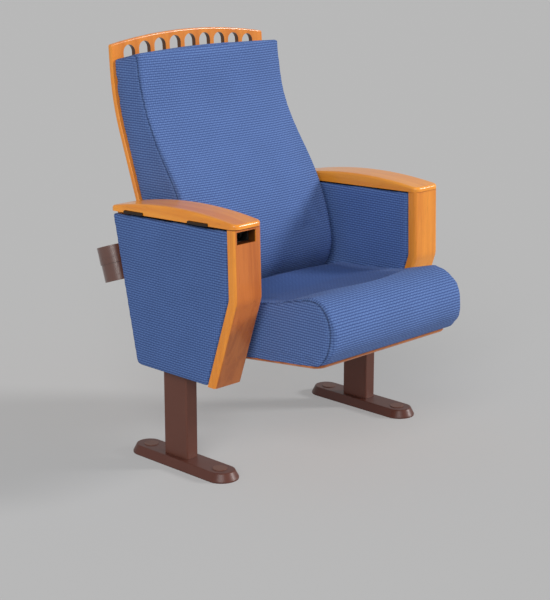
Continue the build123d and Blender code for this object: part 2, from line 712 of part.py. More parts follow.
# Seat cushion: sides lofted with a slight bulge, cut to a rolled front and a dished top
SEAT_FLOOR_T = SEAT_BOARD_T / cos(SEAT_TILT)
low_z = seat_base(SEAT_REAR_Y)
layer_front = SEAT_NOSE_Y - SEAT_NOSE_CLEAR
seat_layers = [
    seat_plan(Plane.XY.offset(low_z), layer_front, 0),
    seat_plan(Plane.XY.offset((low_z + SEAT_RIDGE_Z) / 2), layer_front, SEAT_BULGE),
    seat_plan(Plane.XY.offset(SEAT_RIDGE_Z), layer_front, -SEAT_DRAW),
]
seat_foot = (SEAT_FRONT_Y, seat_base(SEAT_FRONT_Y) + SEAT_FLOOR_T)
seat_heel = (SEAT_REAR_Y, seat_base(SEAT_REAR_Y) + SEAT_FLOOR_T)
seat_crown = (SEAT_REAR_Y, SEAT_TOP_Z)
seat_ridge = (SEAT_RIDGE_Y, SEAT_RIDGE_Z)
seat_nose = (SEAT_NOSE_Y, SEAT_NOSE_Z)
roll_mid = part_way(seat_nose, seat_ridge, SEAT_ROLL_SHARE)
chin_mid = part_way(seat_nose, seat_foot, SEAT_CHIN_SHARE)
with BuildPart() as seat_cushion:
    loft(seat_layers)
    with BuildSketch(Plane.YZ) as seat_side:
        with BuildLine():
            Polyline(seat_foot, seat_heel, seat_crown)
            ThreePointArc(seat_crown, ((SEAT_REAR_Y + SEAT_RIDGE_Y) / 2, SEAT_DISH_Z), seat_ridge)
            ThreePointArc(seat_ridge, roll_mid, seat_nose)
            ThreePointArc(seat_nose, chin_mid, seat_foot)
        make_face()
        fillet(seat_side.vertices().sort_by(Axis.Y)[-1], SEAT_RIDGE_R)
        fillet(seat_side.vertices().group_by(Axis.X)[-1].sort_by(Axis.Y)[-1], SEAT_REAR_R)
    extrude(amount=SEAT_REAR_WIDTH, both=True, mode=Mode.INTERSECT)
save(seat_cushion, "seat_cushion")

# Seat hinges: a side plate with a tail behind the pivot, and a flange under the seat board
for side, sign in SIDES:
    plate_plane, plate_t = side_slab(SIDE_PLATE_X, SIDE_PLATE_X + SIDE_PLATE_T, sign)
    flange_plane, flange_t = side_slab(
        SIDE_PLATE_X + SIDE_PLATE_T - SIDE_FLANGE_WIDTH, SIDE_PLATE_X + SIDE_PLATE_T, sign
    )
    flange_drop = SIDE_FLANGE_T / cos(SEAT_TILT)
    front_low = (SIDE_FLANGE_FRONT_Y, seat_base(SIDE_FLANGE_FRONT_Y) - flange_drop)
    front_high = (SIDE_FLANGE_FRONT_Y, seat_base(SIDE_FLANGE_FRONT_Y))
    rear_low = (SIDE_FLANGE_REAR_Y, seat_base(SIDE_FLANGE_REAR_Y) - flange_drop)
    rear_high = (SIDE_FLANGE_REAR_Y, seat_base(SIDE_FLANGE_REAR_Y))
    with BuildPart() as hinge:
        with BuildSketch(plate_plane):
            with BuildLine():
                Polyline(
                    front_low,
                    rear_low,
                    (PIVOT_Y + SIDE_PLATE_R, PIVOT_Z),
                    (PIVOT_Y, PIVOT_Z + SIDE_PLATE_R),
                    (SIDE_FLANGE_FRONT_Y, seat_base(SIDE_FLANGE_FRONT_Y) + SEAT_BOARD_T),
                    close=True,
                )
            make_face()
            with Locations((PIVOT_Y, PIVOT_Z)):
                Circle(SIDE_PLATE_R)
            with Locations((PIVOT_Y, PIVOT_Z + TAIL_TOP)):
                Rectangle(TAIL_LENGTH, TAIL_DEPTH, align=(Align.MIN, Align.MAX))
            with Locations((PIVOT_Y, PIVOT_Z)):
                Circle(PIVOT_PIN_R, mode=Mode.SUBTRACT)
        extrude(amount=plate_t)
        with BuildSketch(flange_plane):
            with BuildLine():
                Polyline(front_low, front_high, rear_high, rear_low, close=True)
            make_face()
        extrude(amount=flange_t)
    save(hinge, f"{side}_seat_hinge")

# Screws through the hinge flanges into the seat board
with BuildPart() as seat_screws:
    screw_plane = seat_plane.offset(-SIDE_FLANGE_T)
    screw_x = SIDE_PLATE_X + SIDE_PLATE_T - SIDE_FLANGE_WIDTH * SCREW_SPREAD
    screw_y = (SIDE_FLANGE_FRONT_Y + SIDE_FLANGE_REAR_Y) / 2
    screw_pitch = (SIDE_FLANGE_REAR_Y - SIDE_FLANGE_FRONT_Y) * SCREW_SPREAD
    with BuildSketch(screw_plane):
        with Locations((0, screw_y)):
            with GridLocations(2 * screw_x, screw_pitch, 2, 2):
                Circle(SCREW_R)
    extrude(amount=-SCREW_HEAD)
save(seat_screws, "seat_screws")

# Pivot pins turn with the seat in flanged bushes held by housings on the columns
PIN_END_X = COLUMN_INNER_X - HOUSING_T - PIN_END_GAP
with BuildPart() as seat_pivot_pins:
    for _, sign in SIDES:
        plane, length = side_slab(SIDE_PLATE_X, PIN_END_X, sign)
        with BuildSketch(plane):
            with Locations((PIVOT_Y, PIVOT_Z)):
                Circle(PIVOT_PIN_R)
        extrude(amount=length)
save(seat_pivot_pins, "seat_pivot_pins")

with BuildPart() as seat_pivot_bushes:
    for _, sign in SIDES:
        plane, length = side_slab(BUSH_FACE_X, COLUMN_INNER_X - HOUSING_T, sign)
        with BuildSketch(plane):
            with Locations((PIVOT_Y, PIVOT_Z)):
                Circle(BUSH_R)
        extrude(amount=length)
        plane, length = side_slab(BUSH_FACE_X, BUSH_FACE_X + BUSH_FLANGE_T, sign)
        with BuildSketch(plane):
            with Locations((PIVOT_Y, PIVOT_Z)):
                Circle(BUSH_FLANGE_R)
        extrude(amount=length)
        plane, length = side_slab(BUSH_FACE_X, COLUMN_INNER_X - HOUSING_T, sign)
        with BuildSketch(plane):
            with Locations((PIVOT_Y, PIVOT_Z)):
                Circle(PIVOT_PIN_R + RUN_GAP)
        extrude(amount=length, mode=Mode.SUBTRACT)
save(seat_pivot_bushes, "seat_pivot_bushes")

for side, sign in SIDES:
    with BuildPart() as housing:
        plane, length = side_slab(COLUMN_INNER_X - HOUSING_T, COLUMN_INNER_X, sign)
        with BuildSketch(plane):
            with Locations((PIVOT_Y - HOUSING_REACH, PIVOT_Z)):
                rear_reach = COLUMN_SETBACK + COLUMN_DEPTH / 2 - PIVOT_Y + HOUSING_REACH
                Rectangle(rear_reach, HOUSING_HEIGHT, align=(Align.MIN, Align.CENTER))
        extrude(amount=length)
        plane, length = side_slab(BUSH_FACE_X + BUSH_FLANGE_T, COLUMN_INNER_X - HOUSING_T, sign)
        with BuildSketch(plane):
            with Locations((PIVOT_Y, PIVOT_Z)):
                Circle(BOSS_R)
                Circle(BUSH_R, mode=Mode.SUBTRACT)
        extrude(amount=length)
    save(housing, f"{side}_pivot_housing")

# Rubber buffers on the arm boxes stop the tails of the seat hinges
with BuildPart() as seat_buffers:
    for _, sign in SIDES:
        plane, length = side_slab(SIDE_PLATE_X - BUFFER_GAP, ARM_INNER_X, sign)
        buffer_y = PIVOT_Y + TAIL_LENGTH - BUFFER_R
        with BuildSketch(plane):
            with Locations((buffer_y, PIVOT_Z + TAIL_TOP + BUFFER_GAP + BUFFER_R)):
                Circle(BUFFER_R)
        extrude(amount=length)
save(seat_buffers, "seat_buffers")

# Cup holder: a collared cup hung in a hoop behind the lidded arm
CUP_TILT = radians(CUP_LEAN)
COLLAR_FOOT = CUP_HEIGHT - CUP_COLLAR_HEIGHT
cup_up = (0, sin(CUP_TILT), cos(CUP_TILT))
cup_foot_y = CUP_RIM_Y - CUP_HEIGHT * sin(CUP_TILT)
cup_foot_z = CUP_RIM_Z - CUP_HEIGHT * cos(CUP_TILT)
cup_floor = Plane((-ARM_MID_X, cup_foot_y, cup_foot_z), x_dir=(1, 0, 0), z_dir=cup_up)
with BuildPart() as cup_holder:
    with BuildSketch(cup_floor):
        Circle(CUP_R)
    extrude(amount=CUP_HEIGHT)
    with BuildSketch(cup_floor.offset(COLLAR_FOOT)):
        Circle(CUP_R + CUP_COLLAR)
    extrude(amount=CUP_COLLAR_HEIGHT)
    with BuildSketch(cup_floor.offset(CUP_WALL)):
        Circle(CUP_R - CUP_WALL)
    extrude(amount=CUP_HEIGHT, mode=Mode.SUBTRACT)
save(cup_holder, "cup_holder")

# Bracket: a hoop under the collar, a stem, and a plate flat on the rear strip
hoop_mid = COLLAR_FOOT - HOOP_HEIGHT / 2
hoop_y = cup_foot_y + hoop_mid * sin(CUP_TILT)
hoop_z = cup_foot_z + hoop_mid * cos(CUP_TILT)
strip_out = (0, cos(REAR_LEAN), -sin(REAR_LEAN))
strip_gap = (hoop_y - arm_rear(hoop_z) + STRIP_RECESS) * cos(REAR_LEAN)
plate_y = hoop_y - strip_gap * cos(REAR_LEAN)
plate_z = hoop_z + strip_gap * sin(REAR_LEAN)
plate_foot = Plane((-ARM_MID_X, plate_y, plate_z), x_dir=(1, 0, 0), z_dir=strip_out)
with BuildPart() as cup_bracket:
    with BuildSketch(cup_floor.offset(COLLAR_FOOT - HOOP_HEIGHT)):
        Circle(CUP_R + HOOP_GAP + HOOP_T)
        Rectangle(STEM_WIDTH, 2 * strip_gap, align=(Align.CENTER, Align.MAX))
        Circle(CUP_R + HOOP_GAP, mode=Mode.SUBTRACT)
    extrude(amount=HOOP_HEIGHT)
    split(bisect_by=plate_foot, keep=Keep.TOP)
    with BuildSketch(plate_foot):
        Rectangle(CUP_PLATE_WIDTH, CUP_PLATE_HEIGHT)
    extrude(amount=CUP_PLATE_T)
save(cup_bracket, "cup_bracket")

with BuildPart() as cup_screws:
    with BuildSketch(plate_foot.offset(CUP_PLATE_T)):
        with GridLocations(0, CUP_PLATE_HEIGHT * SCREW_SPREAD, 1, 2):
            Circle(SCREW_R)
    extrude(amount=SCREW_HEAD)
save(cup_screws, "cup_screws")
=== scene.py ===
# %% [markdown]
# # A tip-up hall chair
# The chair stands on two cast feet. Wooden posts and caps frame its boxed arms, and blue cloth covers
# the cushions and the arm panels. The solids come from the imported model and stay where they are. This
# script dresses them: it gives every solid a finish and puts soft pieces in place of the padded ones.

# %% Load the solids
import math

import bmesh
import bpy
import numpy as np
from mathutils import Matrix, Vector
from mathutils.bvhtree import BVHTree


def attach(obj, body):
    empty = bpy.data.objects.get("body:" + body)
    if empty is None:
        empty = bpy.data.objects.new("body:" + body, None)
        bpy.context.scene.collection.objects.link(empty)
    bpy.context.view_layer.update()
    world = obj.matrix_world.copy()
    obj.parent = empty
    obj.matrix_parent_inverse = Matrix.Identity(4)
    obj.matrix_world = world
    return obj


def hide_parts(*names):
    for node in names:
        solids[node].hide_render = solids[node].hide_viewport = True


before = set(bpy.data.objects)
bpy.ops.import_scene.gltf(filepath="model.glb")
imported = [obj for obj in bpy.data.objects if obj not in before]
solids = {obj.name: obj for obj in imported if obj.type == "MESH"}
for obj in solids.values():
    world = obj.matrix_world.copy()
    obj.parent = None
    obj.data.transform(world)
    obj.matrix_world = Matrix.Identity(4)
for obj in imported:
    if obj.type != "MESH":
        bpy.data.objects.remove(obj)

scene = bpy.context.scene
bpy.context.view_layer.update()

# %% [markdown]
# ## Camera
# The picture was taken from the front left with a long lens. Matching points on the chair's two sides
# gives the place of the camera, so its numbers are typed in once instead of being turned by hand.
# The lens follows from the focal length in pixels and the picture's longer side.

# %% Place the camera
PICTURE_HEIGHT = 600
FOCAL_PIXELS = 1584.2
CAMERA_PLACE = (-2.572, -2.5251, 1.2941)
LOOKS_DOWN, LOOKS_RIGHT = 15, 45.4
camera_data = bpy.data.cameras.new("camera")
camera_data.sensor_width = 36
camera_data.lens = FOCAL_PIXELS * camera_data.sensor_width / PICTURE_HEIGHT
camera = bpy.data.objects.new("camera", camera_data)
camera.location = CAMERA_PLACE
camera.rotation_euler = (math.radians(90 - LOOKS_DOWN), 0, math.radians(-LOOKS_RIGHT))
scene.collection.objects.link(camera)
scene.camera = camera
print("lens", round(camera_data.lens, 1), "mm")

# %% [markdown]
# ## Light and floor
# The backdrop is one even grey without a horizon. A lamp of the Sun kind gives the same light at every
# distance, so a very large floor stays even right out to the top of the picture. A wide, soft lamp
# stands on the left. A narrower one stands low on the right and lays the right arm's shadow across the
# foot of the back. The world adds the light that a white room throws back. To the camera the floor
# shows half its own paint and half the even backdrop, so the chair's shadow stays but is faint.

# %% Helpers for shader trees
def add_node(tree, kind, sockets=None, **settings):
    """Add a shader node, choose its settings, and fill the sockets that are given."""
    made = tree.nodes.new(kind)
    for name, value in settings.items():
        setattr(made, name, value)
    for name, value in (sockets or {}).items():
        if isinstance(value, bpy.types.NodeSocket):
            tree.links.new(value, made.inputs[name])
        else:
            made.inputs[name].default_value = value
    return made


def calc(tree, operation, a, b=0.0, c=0.0):
    """One Math node; returns its result."""
    return add_node(tree, "ShaderNodeMath", {0: a, 1: b, 2: c}, operation=operation).outputs[0]


def vector_calc(tree, operation, vector, other=(0, 0, 0), scale=1.0):
    """One Vector Math node; returns its vector."""
    sockets = {0: vector, 1: other, 3: scale}
    return add_node(tree, "ShaderNodeVectorMath", sockets, operation=operation).outputs[0]


def split(tree, vector):
    """The three parts of a vector."""
    return add_node(tree, "ShaderNodeSeparateXYZ", {0: vector}).outputs


def ramp(tree, value, low, high, first=0.0, last=1.0, smooth=False):
    """Map the run from low to high onto first to last, straight or in a soft S; returns the result."""
    kind = "SMOOTHSTEP" if smooth else "LINEAR"
    sockets = {0: value, 1: low, 2: high, 3: first, 4: last}
    return add_node(tree, "ShaderNodeMapRange", sockets, interpolation_type=kind).outputs[0]


def noise(tree, place, scale, detail, **more):
    """Cloudy noise at a place; returns the node."""
    return add_node(tree, "ShaderNodeTexNoise", {"Vector": place, "Scale": scale, "Detail": detail, **more})


def grey(tree, value):
    """The grey that has the same value in all three channels."""
    return add_node(tree, "ShaderNodeCombineColor", {0: value, 1: value, 2: value}).outputs[0]


def blend_colour(tree, share, first, second, mode="MIX"):
    """Mix two colours by a share; returns the result."""
    sockets = {0: share, 6: first, 7: second}
    return add_node(tree, "ShaderNodeMix", sockets, data_type="RGBA", blend_type=mode).outputs[2]


def rgb(red, green, blue):
    """Linear colour from the 0 to 255 values that a picture program shows."""
    parts = [value / 255 for value in (red, green, blue)]
    return [p / 12.92 if p <= 0.04045 else ((p + 0.055) / 1.055) ** 2.4 for p in parts] + [1.0]


# %% World
BACKDROP = rgb(184, 184, 184)
LEVEL_LIGHT, HIGH_LIGHT, HIGH_UP = 0.42, 0.22, 0.9


def seen_directly(tree):
    """1 for rays that show a surface: straight, mirrored or through glass."""
    paths = add_node(tree, "ShaderNodeLightPath")
    seen = calc(tree, "MAXIMUM", paths.outputs["Is Camera Ray"], paths.outputs["Is Glossy Ray"])
    return calc(tree, "MAXIMUM", seen, paths.outputs["Is Transmission Ray"])


world = bpy.data.worlds.new("white room")
scene.world = world
world.use_nodes = True
tree = world.node_tree
tree.nodes.clear()
up = split(tree, add_node(tree, "ShaderNodeTexCoord").outputs["Generated"])[2]
fading = ramp(tree, up, 0.0, HIGH_UP, LEVEL_LIGHT, HIGH_LIGHT)
room = add_node(tree, "ShaderNodeBackground", {"Color": (1, 1, 1, 1), "Strength": fading})
backdrop = add_node(tree, "ShaderNodeBackground", {"Color": BACKDROP, "Strength": 1.0})
both = add_node(tree, "ShaderNodeMixShader", {
    0: seen_directly(tree), 1: room.outputs[0], 2: backdrop.outputs[0],
})
add_node(tree, "ShaderNodeOutputWorld", {"Surface": both.outputs[0]})
print("world", world.name)


# %% Lamps
def sun(name, towards, strength, angle):
    """A wide lamp whose light comes from the given direction."""
    lamp = bpy.data.lights.new(name, "SUN")
    lamp.energy = strength
    lamp.angle = math.radians(angle)
    made = bpy.data.objects.new(name, lamp)
    made.rotation_euler = Vector(towards).to_track_quat("Z", "Y").to_euler()
    scene.collection.objects.link(made)


sun("left_light", towards=(-0.68, -0.50, 0.54), strength=1.6, angle=36)
sun("right_light", towards=(0.69, -0.60, 0.40), strength=2.0, angle=12)
scene.view_settings.view_transform = "Standard"

# %% Floor
FLOOR_HALF = 60
FLOOR_PAINT = (0.60, 0.60, 0.60, 1)
EVEN_SHARE = 0.5
floor_mesh = bmesh.new()
bmesh.ops.create_grid(floor_mesh, x_segments=1, y_segments=1, size=FLOOR_HALF)
floor_data = bpy.data.meshes.new("floor")
floor_mesh.to_mesh(floor_data)
floor_mesh.free()
floor = bpy.data.objects.new("floor", floor_data)
scene.collection.objects.link(floor)
floor_paint = bpy.data.materials.new("floor_paint")
floor_paint.use_nodes = True
tree = floor_paint.node_tree
paint = tree.nodes["Principled BSDF"]
paint.inputs["Base Color"].default_value = FLOOR_PAINT
paint.inputs["Roughness"].default_value = 0.95
paint.inputs["Specular IOR Level"].default_value = 0.0
even = add_node(tree, "ShaderNodeEmission", {"Color": BACKDROP, "Strength": 1.0})
share = calc(tree, "MULTIPLY", seen_directly(tree), EVEN_SHARE)
both = add_node(tree, "ShaderNodeMixShader", {0: share, 1: paint.outputs[0], 2: even.outputs[0]})
tree.links.new(both.outputs[0], tree.nodes["Material Output"].inputs["Surface"])
floor_data.materials.append(floor_paint)
print("floor", 2 * FLOOR_HALF, "m wide")

# %% [markdown]
# ## Shared effects
# Cloth, wood and paint each have one effect that several finishes share: the weave, the grain and the
# fine unevenness of paint. Each is a node group with named inputs, so a finish only gives it colours
# and sizes. The groups hand out colours, heights and masks; the Principled shader stays in the finish.

# %% A helper for node groups
COLOUR, VALUE, VECTOR = "NodeSocketColor", "NodeSocketFloat", "NodeSocketVector"


def new_group(name, inputs, outputs):
    """Empty node group with named sockets; returns the tree and its two ends."""
    tree = bpy.data.node_groups.new(name, "ShaderNodeTree")
    for title, kind, value in inputs:
        socket = tree.interface.new_socket(name=title, in_out="INPUT", socket_type=kind)
        if value is not None:
            socket.default_value = value
    for title, kind in outputs:
        tree.interface.new_socket(name=title, in_out="OUTPUT", socket_type=kind)
    return tree, tree.nodes.new("NodeGroupInput"), tree.nodes.new("NodeGroupOutput")


# %% [markdown]
# ### Weave
# The cover cloth is a coarse weave of short ribs in rows that are easy to count. A Wave texture gives
# stripes, but not the breaks between the ribs. Two sine bumps, one along each direction of the map, give
# both. A little noise bends the rows, because a woven row is never quite straight.

# %% Weave: rows of short ribs in a grid, with painted shade in the crevices between the threads
weave, start, end = new_group(
    "cloth_weave",
    [
        ("Place", VECTOR, None),
        ("Threads per metre", VALUE, 180.0),
        ("Warp", COLOUR, (0.2, 0.3, 0.6, 1)),
        ("Weft", COLOUR, (0.1, 0.2, 0.4, 1)),
        ("Crevice shade", COLOUR, (0.02, 0.03, 0.08, 1)),
    ],
    [("Color", COLOUR), ("Height", VALUE)],
)
scaled = vector_calc(weave, "SCALE", start.outputs["Place"], scale=start.outputs["Threads per metre"])
wobble = noise(weave, scaled, scale=0.35, detail=1.0).outputs["Color"]
shift = vector_calc(weave, "SCALE", vector_calc(weave, "SUBTRACT", wobble, (0.5, 0.5, 0.5)), scale=0.22)
placed = vector_calc(weave, "ADD", scaled, shift)
across, along = split(weave, placed)[:2]
column = calc(weave, "SINE", calc(weave, "MULTIPLY", calc(weave, "FRACT", across), math.pi))
row = calc(weave, "SINE", calc(weave, "MULTIPLY", calc(weave, "FRACT", along), math.pi))
turn = calc(weave, "ADD", calc(weave, "FLOOR", across), calc(weave, "FLOOR", along))
over = calc(weave, "PINGPONG", turn, 1.0)
bar = calc(weave, "MULTIPLY_ADD", column, 0.42, 0.58)
height = calc(weave, "MULTIPLY", calc(weave, "POWER", row, 0.7), bar)
fibres = noise(weave, scaled, scale=1.7, detail=3.0).outputs["Fac"]
cloud = noise(weave, scaled, scale=0.06, detail=2.0).outputs["Fac"]
thread = blend_colour(weave, over, start.outputs["Warp"], start.outputs["Weft"])
# Painted shade: the colour darkens towards the crevice colour where the weave lies low.
depth = ramp(weave, height, 0.10, 0.85, smooth=True)
colour = blend_colour(weave, depth, start.outputs["Crevice shade"], thread)
tone = calc(weave, "MULTIPLY_ADD", fibres, 0.42, 0.79)
tone = calc(weave, "MULTIPLY", tone, calc(weave, "MULTIPLY_ADD", cloud, 0.20, 0.90))
weave.links.new(blend_colour(weave, 1.0, colour, grey(weave, tone), "MULTIPLY"), end.inputs["Color"])
weave.links.new(calc(weave, "MULTIPLY_ADD", fibres, 0.25, height), end.inputs["Height"])
print("group", weave.name, "of", len(weave.nodes), "nodes")

# %% [markdown]
# ### Grain
# The wood is a plain, fine-grained sheet under orange lacquer. Its streaks are long and thin, so the noise
# is squeezed along one axis before it is read. Broad bands carry the colour, fine streaks the pores.

# %% Grain: long streaks and growth bands along the local Z of the wood
grain, start, end = new_group(
    "wood_grain",
    [
        ("Place", VECTOR, None),
        ("Pale", COLOUR, (0.8, 0.4, 0.1, 1)),
        ("Dark", COLOUR, (0.5, 0.2, 0.05, 1)),
        ("Bands", VALUE, 0.5),
    ],
    [("Color", COLOUR), ("Roughness", VALUE), ("Height", VALUE)],
)
squeezed = vector_calc(grain, "MULTIPLY", start.outputs["Place"], (1.0, 1.0, 0.055))
bands = noise(grain, squeezed, scale=42.0, detail=5.0, Roughness=0.62, Distortion=0.6).outputs["Fac"]
streaks = noise(grain, squeezed, scale=330.0, detail=4.0, Roughness=0.7).outputs["Fac"]
cloud = noise(grain, start.outputs["Place"], scale=7.0, detail=2.0).outputs["Fac"]
band = ramp(grain, bands, 0.36, 0.66, smooth=True)
pore = ramp(grain, streaks, 0.30, 0.44, smooth=True)
share = calc(grain, "MULTIPLY", band, start.outputs["Bands"])
share = calc(grain, "ADD", share, calc(grain, "MULTIPLY_ADD", streaks, 0.50, -0.18))
share = calc(grain, "ADD", share, calc(grain, "MULTIPLY_ADD", cloud, 0.30, -0.15))
wood = blend_colour(grain, share, start.outputs["Pale"], start.outputs["Dark"])
pored = grey(grain, ramp(grain, pore, 0.0, 1.0, 0.80, 1.0))
grain.links.new(blend_colour(grain, 1.0, wood, pored, "MULTIPLY"), end.inputs["Color"])
grain.links.new(calc(grain, "MULTIPLY_ADD", streaks, 0.18, 0.22), end.inputs["Roughness"])
grain.links.new(calc(grain, "MULTIPLY_ADD", band, 0.3, pore), end.inputs["Height"])
print("group", grain.name, "of", len(grain.nodes), "nodes")

# %% [markdown]
# ### Paint
# Sprayed paint is never quite flat: it has fine ripples, its gloss drifts in clouds, and it thins along
# the edges. The Bevel node rounds each edge in the shading only. Where its normal leaves the true one
# there is an edge, so the same node also tells where the paint is rubbed.

# %% Paint: fine ripples, cloudy gloss, and rubbed edges that show a second colour
coating, start, end = new_group(
    "coating",
    [
        ("Place", VECTOR, None),
        ("Body", COLOUR, (0.1, 0.05, 0.04, 1)),
        ("Rubbed", COLOUR, (0.3, 0.2, 0.15, 1)),
        ("Gloss", VALUE, 0.35),
        ("Ripple scale", VALUE, 500.0),
        ("Edge", VALUE, 0.002),
    ],
    [("Color", COLOUR), ("Roughness", VALUE), ("Height", VALUE), ("Normal", VECTOR)],
)
body, rubbed = start.outputs["Body"], start.outputs["Rubbed"]
place, fineness = start.outputs["Place"], start.outputs["Ripple scale"]
ripple = noise(coating, place, scale=fineness, detail=2.0).outputs["Fac"]
cloud = noise(coating, place, scale=14.0, detail=4.0).outputs["Fac"]
rounded = add_node(coating, "ShaderNodeBevel", {"Radius": start.outputs["Edge"]}, samples=4).outputs[0]
flat = add_node(coating, "ShaderNodeNewGeometry").outputs["True Normal"]
same = add_node(coating, "ShaderNodeVectorMath", {0: rounded, 1: flat}, operation="DOT_PRODUCT")
edge = ramp(coating, same.outputs["Value"], 0.99, 0.80)
worn = calc(coating, "MULTIPLY", edge, ramp(coating, cloud, 0.42, 0.62))
mottled = blend_colour(coating, calc(coating, "MULTIPLY", cloud, 0.25), body, rubbed)
painted = blend_colour(coating, calc(coating, "MULTIPLY", worn, 0.6), mottled, rubbed)
gloss = calc(coating, "ADD", calc(coating, "MULTIPLY_ADD", cloud, 0.16, -0.08), start.outputs["Gloss"])
for title, result in (("Color", painted), ("Roughness", gloss), ("Height", ripple), ("Normal", rounded)):
    coating.links.new(result, end.inputs[title])
print("group", coating.name, "of", len(coating.nodes), "nodes")

# %% [markdown]
# ## Finishes
# Each finish is one material. It reads Object coordinates, or the piece's own map where a pattern
# follows the cloth. Lacquered wood is a satin body under a thin clear coat; enamel on the stand is
# darker and smoother; cloth is rough with a little sheen from its loose fibres.

# %% Helpers for finishes
def new_finish(name, **values):
    """A material with constant values on its own shader; returns it with its tree and shader."""
    made = bpy.data.materials.new(name)
    made.use_nodes = True
    shader = made.node_tree.nodes["Principled BSDF"]
    for title, value in values.items():
        shader.inputs[title.replace("_", " ")].default_value = value
    return made, made.node_tree, shader


def use_group(tree, group, sockets):
    """Place a shared effect in a finish; returns its outputs."""
    return add_node(tree, "ShaderNodeGroup", sockets, node_tree=group).outputs


def raise_surface(tree, shader, height, distance, strength, normal=None):
    """Bump the shader's surface by a height in metres."""
    bump = add_node(tree, "ShaderNodeBump", {"Height": height, "Distance": distance, "Strength": strength})
    if normal is not None:
        tree.links.new(normal, bump.inputs["Normal"])
    tree.links.new(bump.outputs[0], shader.inputs["Normal"])


# %% [markdown]
# ### Wood
# Posts, caps and boards are of the same wood, but each shows another side of it. One function makes them
# all: a Mapping node turns the grain along the piece, and the faces that look sideways may take paler
# colours, painted light. The walls of the slot and the holes are painted dark as shade. They are
# found by their place, so no face has to be picked by hand.

# %% Wood
# Painted shade: the walls of the slot and of the holes are darkened to this colour.
WALL_SHADE = rgb(40, 15, 9)


def wood_finish(name, pale, dark, bands, turn=(0, 0, 0), offset=(0, 0, 0),
                lit_sides=None, shade_walls=None, coat=0.30):
    """Lacquered wood whose grain runs along Z after the turn; faces that look sideways may take paler wood
    as painted light, and the walls of openings painted shade.
    """
    made, tree, shader = new_finish(name, Coat_Weight=coat, Coat_Roughness=0.16, Specular_IOR_Level=0.35)
    coords = add_node(tree, "ShaderNodeTexCoord").outputs
    place = add_node(tree, "ShaderNodeMapping", {
        "Vector": coords["Object"], "Location": offset, "Rotation": turn,
    }).outputs[0]
    plank = use_group(tree, grain, {"Place": place, "Pale": pale, "Dark": dark, "Bands": bands})
    colour = plank["Color"]
    if lit_sides:
        # Painted light: the faces that look along X take a paler grain.
        edge = use_group(tree, grain, {"Place": place, "Pale": lit_sides[0], "Dark": lit_sides[1], "Bands": bands})
        sideways = calc(tree, "ABSOLUTE", split(tree, coords["Normal"])[0])
        colour = blend_colour(tree, ramp(tree, sideways, 0.35, 0.60), colour, edge["Color"])
    if shade_walls:
        # Painted shade on the walls of the openings.
        colour = blend_colour(tree, calc(tree, "MULTIPLY", shade_walls(tree, coords), 0.9), colour, WALL_SHADE)
    tree.links.new(colour, shader.inputs["Base Color"])
    tree.links.new(plank["Roughness"], shader.inputs["Roughness"])
    raise_surface(tree, shader, plank["Height"], distance=0.0004, strength=0.12)
    return made


# %% Painted shade on the walls of the openings in the wood
SLOT_X, SLOT_HALF_WIDTH = -0.300, 0.0283
SLOT_Z, SLOT_HALF_HEIGHT = 0.560, 0.0155
SLOT_MOUTH_Y = -0.1975
CREST_Z, CREST_FALL = 0.942, 0.356
HOLES_HALF = 0.225
HOLE_DROP, HOLE_REACH = 0.045, 0.037
WALL_FACING = 0.6


def within(tree, value, middle, half):
    """1 where a value lies within half of the middle."""
    return calc(tree, "LESS_THAN", calc(tree, "ABSOLUTE", calc(tree, "SUBTRACT", value, middle)), half)


def slot_shade(tree, coords):
    """Where shade is painted on the walls of the slot in the left post."""
    x, y, z = split(tree, coords["Object"])
    deep = calc(tree, "GREATER_THAN", y, SLOT_MOUTH_Y)
    wide = within(tree, x, SLOT_X, SLOT_HALF_WIDTH)
    high = within(tree, z, SLOT_Z, SLOT_HALF_HEIGHT)
    return calc(tree, "MULTIPLY", deep, calc(tree, "MULTIPLY", wide, high))


def hole_shade(tree, coords):
    """Where shade is painted on the walls of the row of holes: below the crest and not on the sheet's two
    faces.
    """
    x, _, z = split(tree, coords["Object"])
    facing = calc(tree, "ABSOLUTE", split(tree, coords["Normal"])[1])
    wall = calc(tree, "LESS_THAN", facing, WALL_FACING)
    wide = within(tree, x, 0.0, HOLES_HALF)
    crest = calc(tree, "MULTIPLY_ADD", calc(tree, "MULTIPLY", x, x), -CREST_FALL, CREST_Z)
    below = within(tree, calc(tree, "SUBTRACT", crest, z), HOLE_DROP, HOLE_REACH)
    return calc(tree, "MULTIPLY", wall, calc(tree, "MULTIPLY", wide, below))


# %% Make the woods
QUARTER = math.pi / 2
# Paler wood for the faces that look sideways: painted light.
SIDE_LIGHT_WOOD = (rgb(250, 160, 58), rgb(212, 116, 30))
# The left post takes a darker, redder copy of the wood than the right post.
wood_post_left = wood_finish(
    "wood_post_left", rgb(206, 118, 52), rgb(160, 76, 28), bands=0.45,
    lit_sides=SIDE_LIGHT_WOOD, shade_walls=slot_shade,
)
wood_post_right = wood_finish(
    "wood_post_right", rgb(244, 156, 56), rgb(204, 110, 32), bands=0.45,
    offset=(0.7, 0.2, 0), lit_sides=SIDE_LIGHT_WOOD,
)
wood_cap = wood_finish(
    "wood_cap", rgb(255, 166, 54), rgb(222, 118, 30), bands=0.40, turn=(QUARTER, 0, 0), coat=0.45,
)
wood_board = wood_finish(
    "wood_board", rgb(238, 146, 54), rgb(196, 100, 32), bands=0.40,
    offset=(0.3, 0.9, 0), lit_sides=SIDE_LIGHT_WOOD, shade_walls=hole_shade,
)
wood_seat = wood_finish(
    "wood_seat", rgb(214, 124, 60), rgb(140, 68, 30), bands=0.60, turn=(0, QUARTER, 0),
)
print("woods", [m.name for m in bpy.data.materials if m.name.startswith("wood")])


# %% [markdown]
# ### Paint, metal and plastic
# The stand is brown enamel, smooth on the columns and coarser on the cast feet. Hinges, screws, bushes
# and buffers are small, but they show when the seat is up or the lid is open. All share the paint effect
# with their own colours, gloss and edge width, and a metal is the same finish with Metallic turned up.

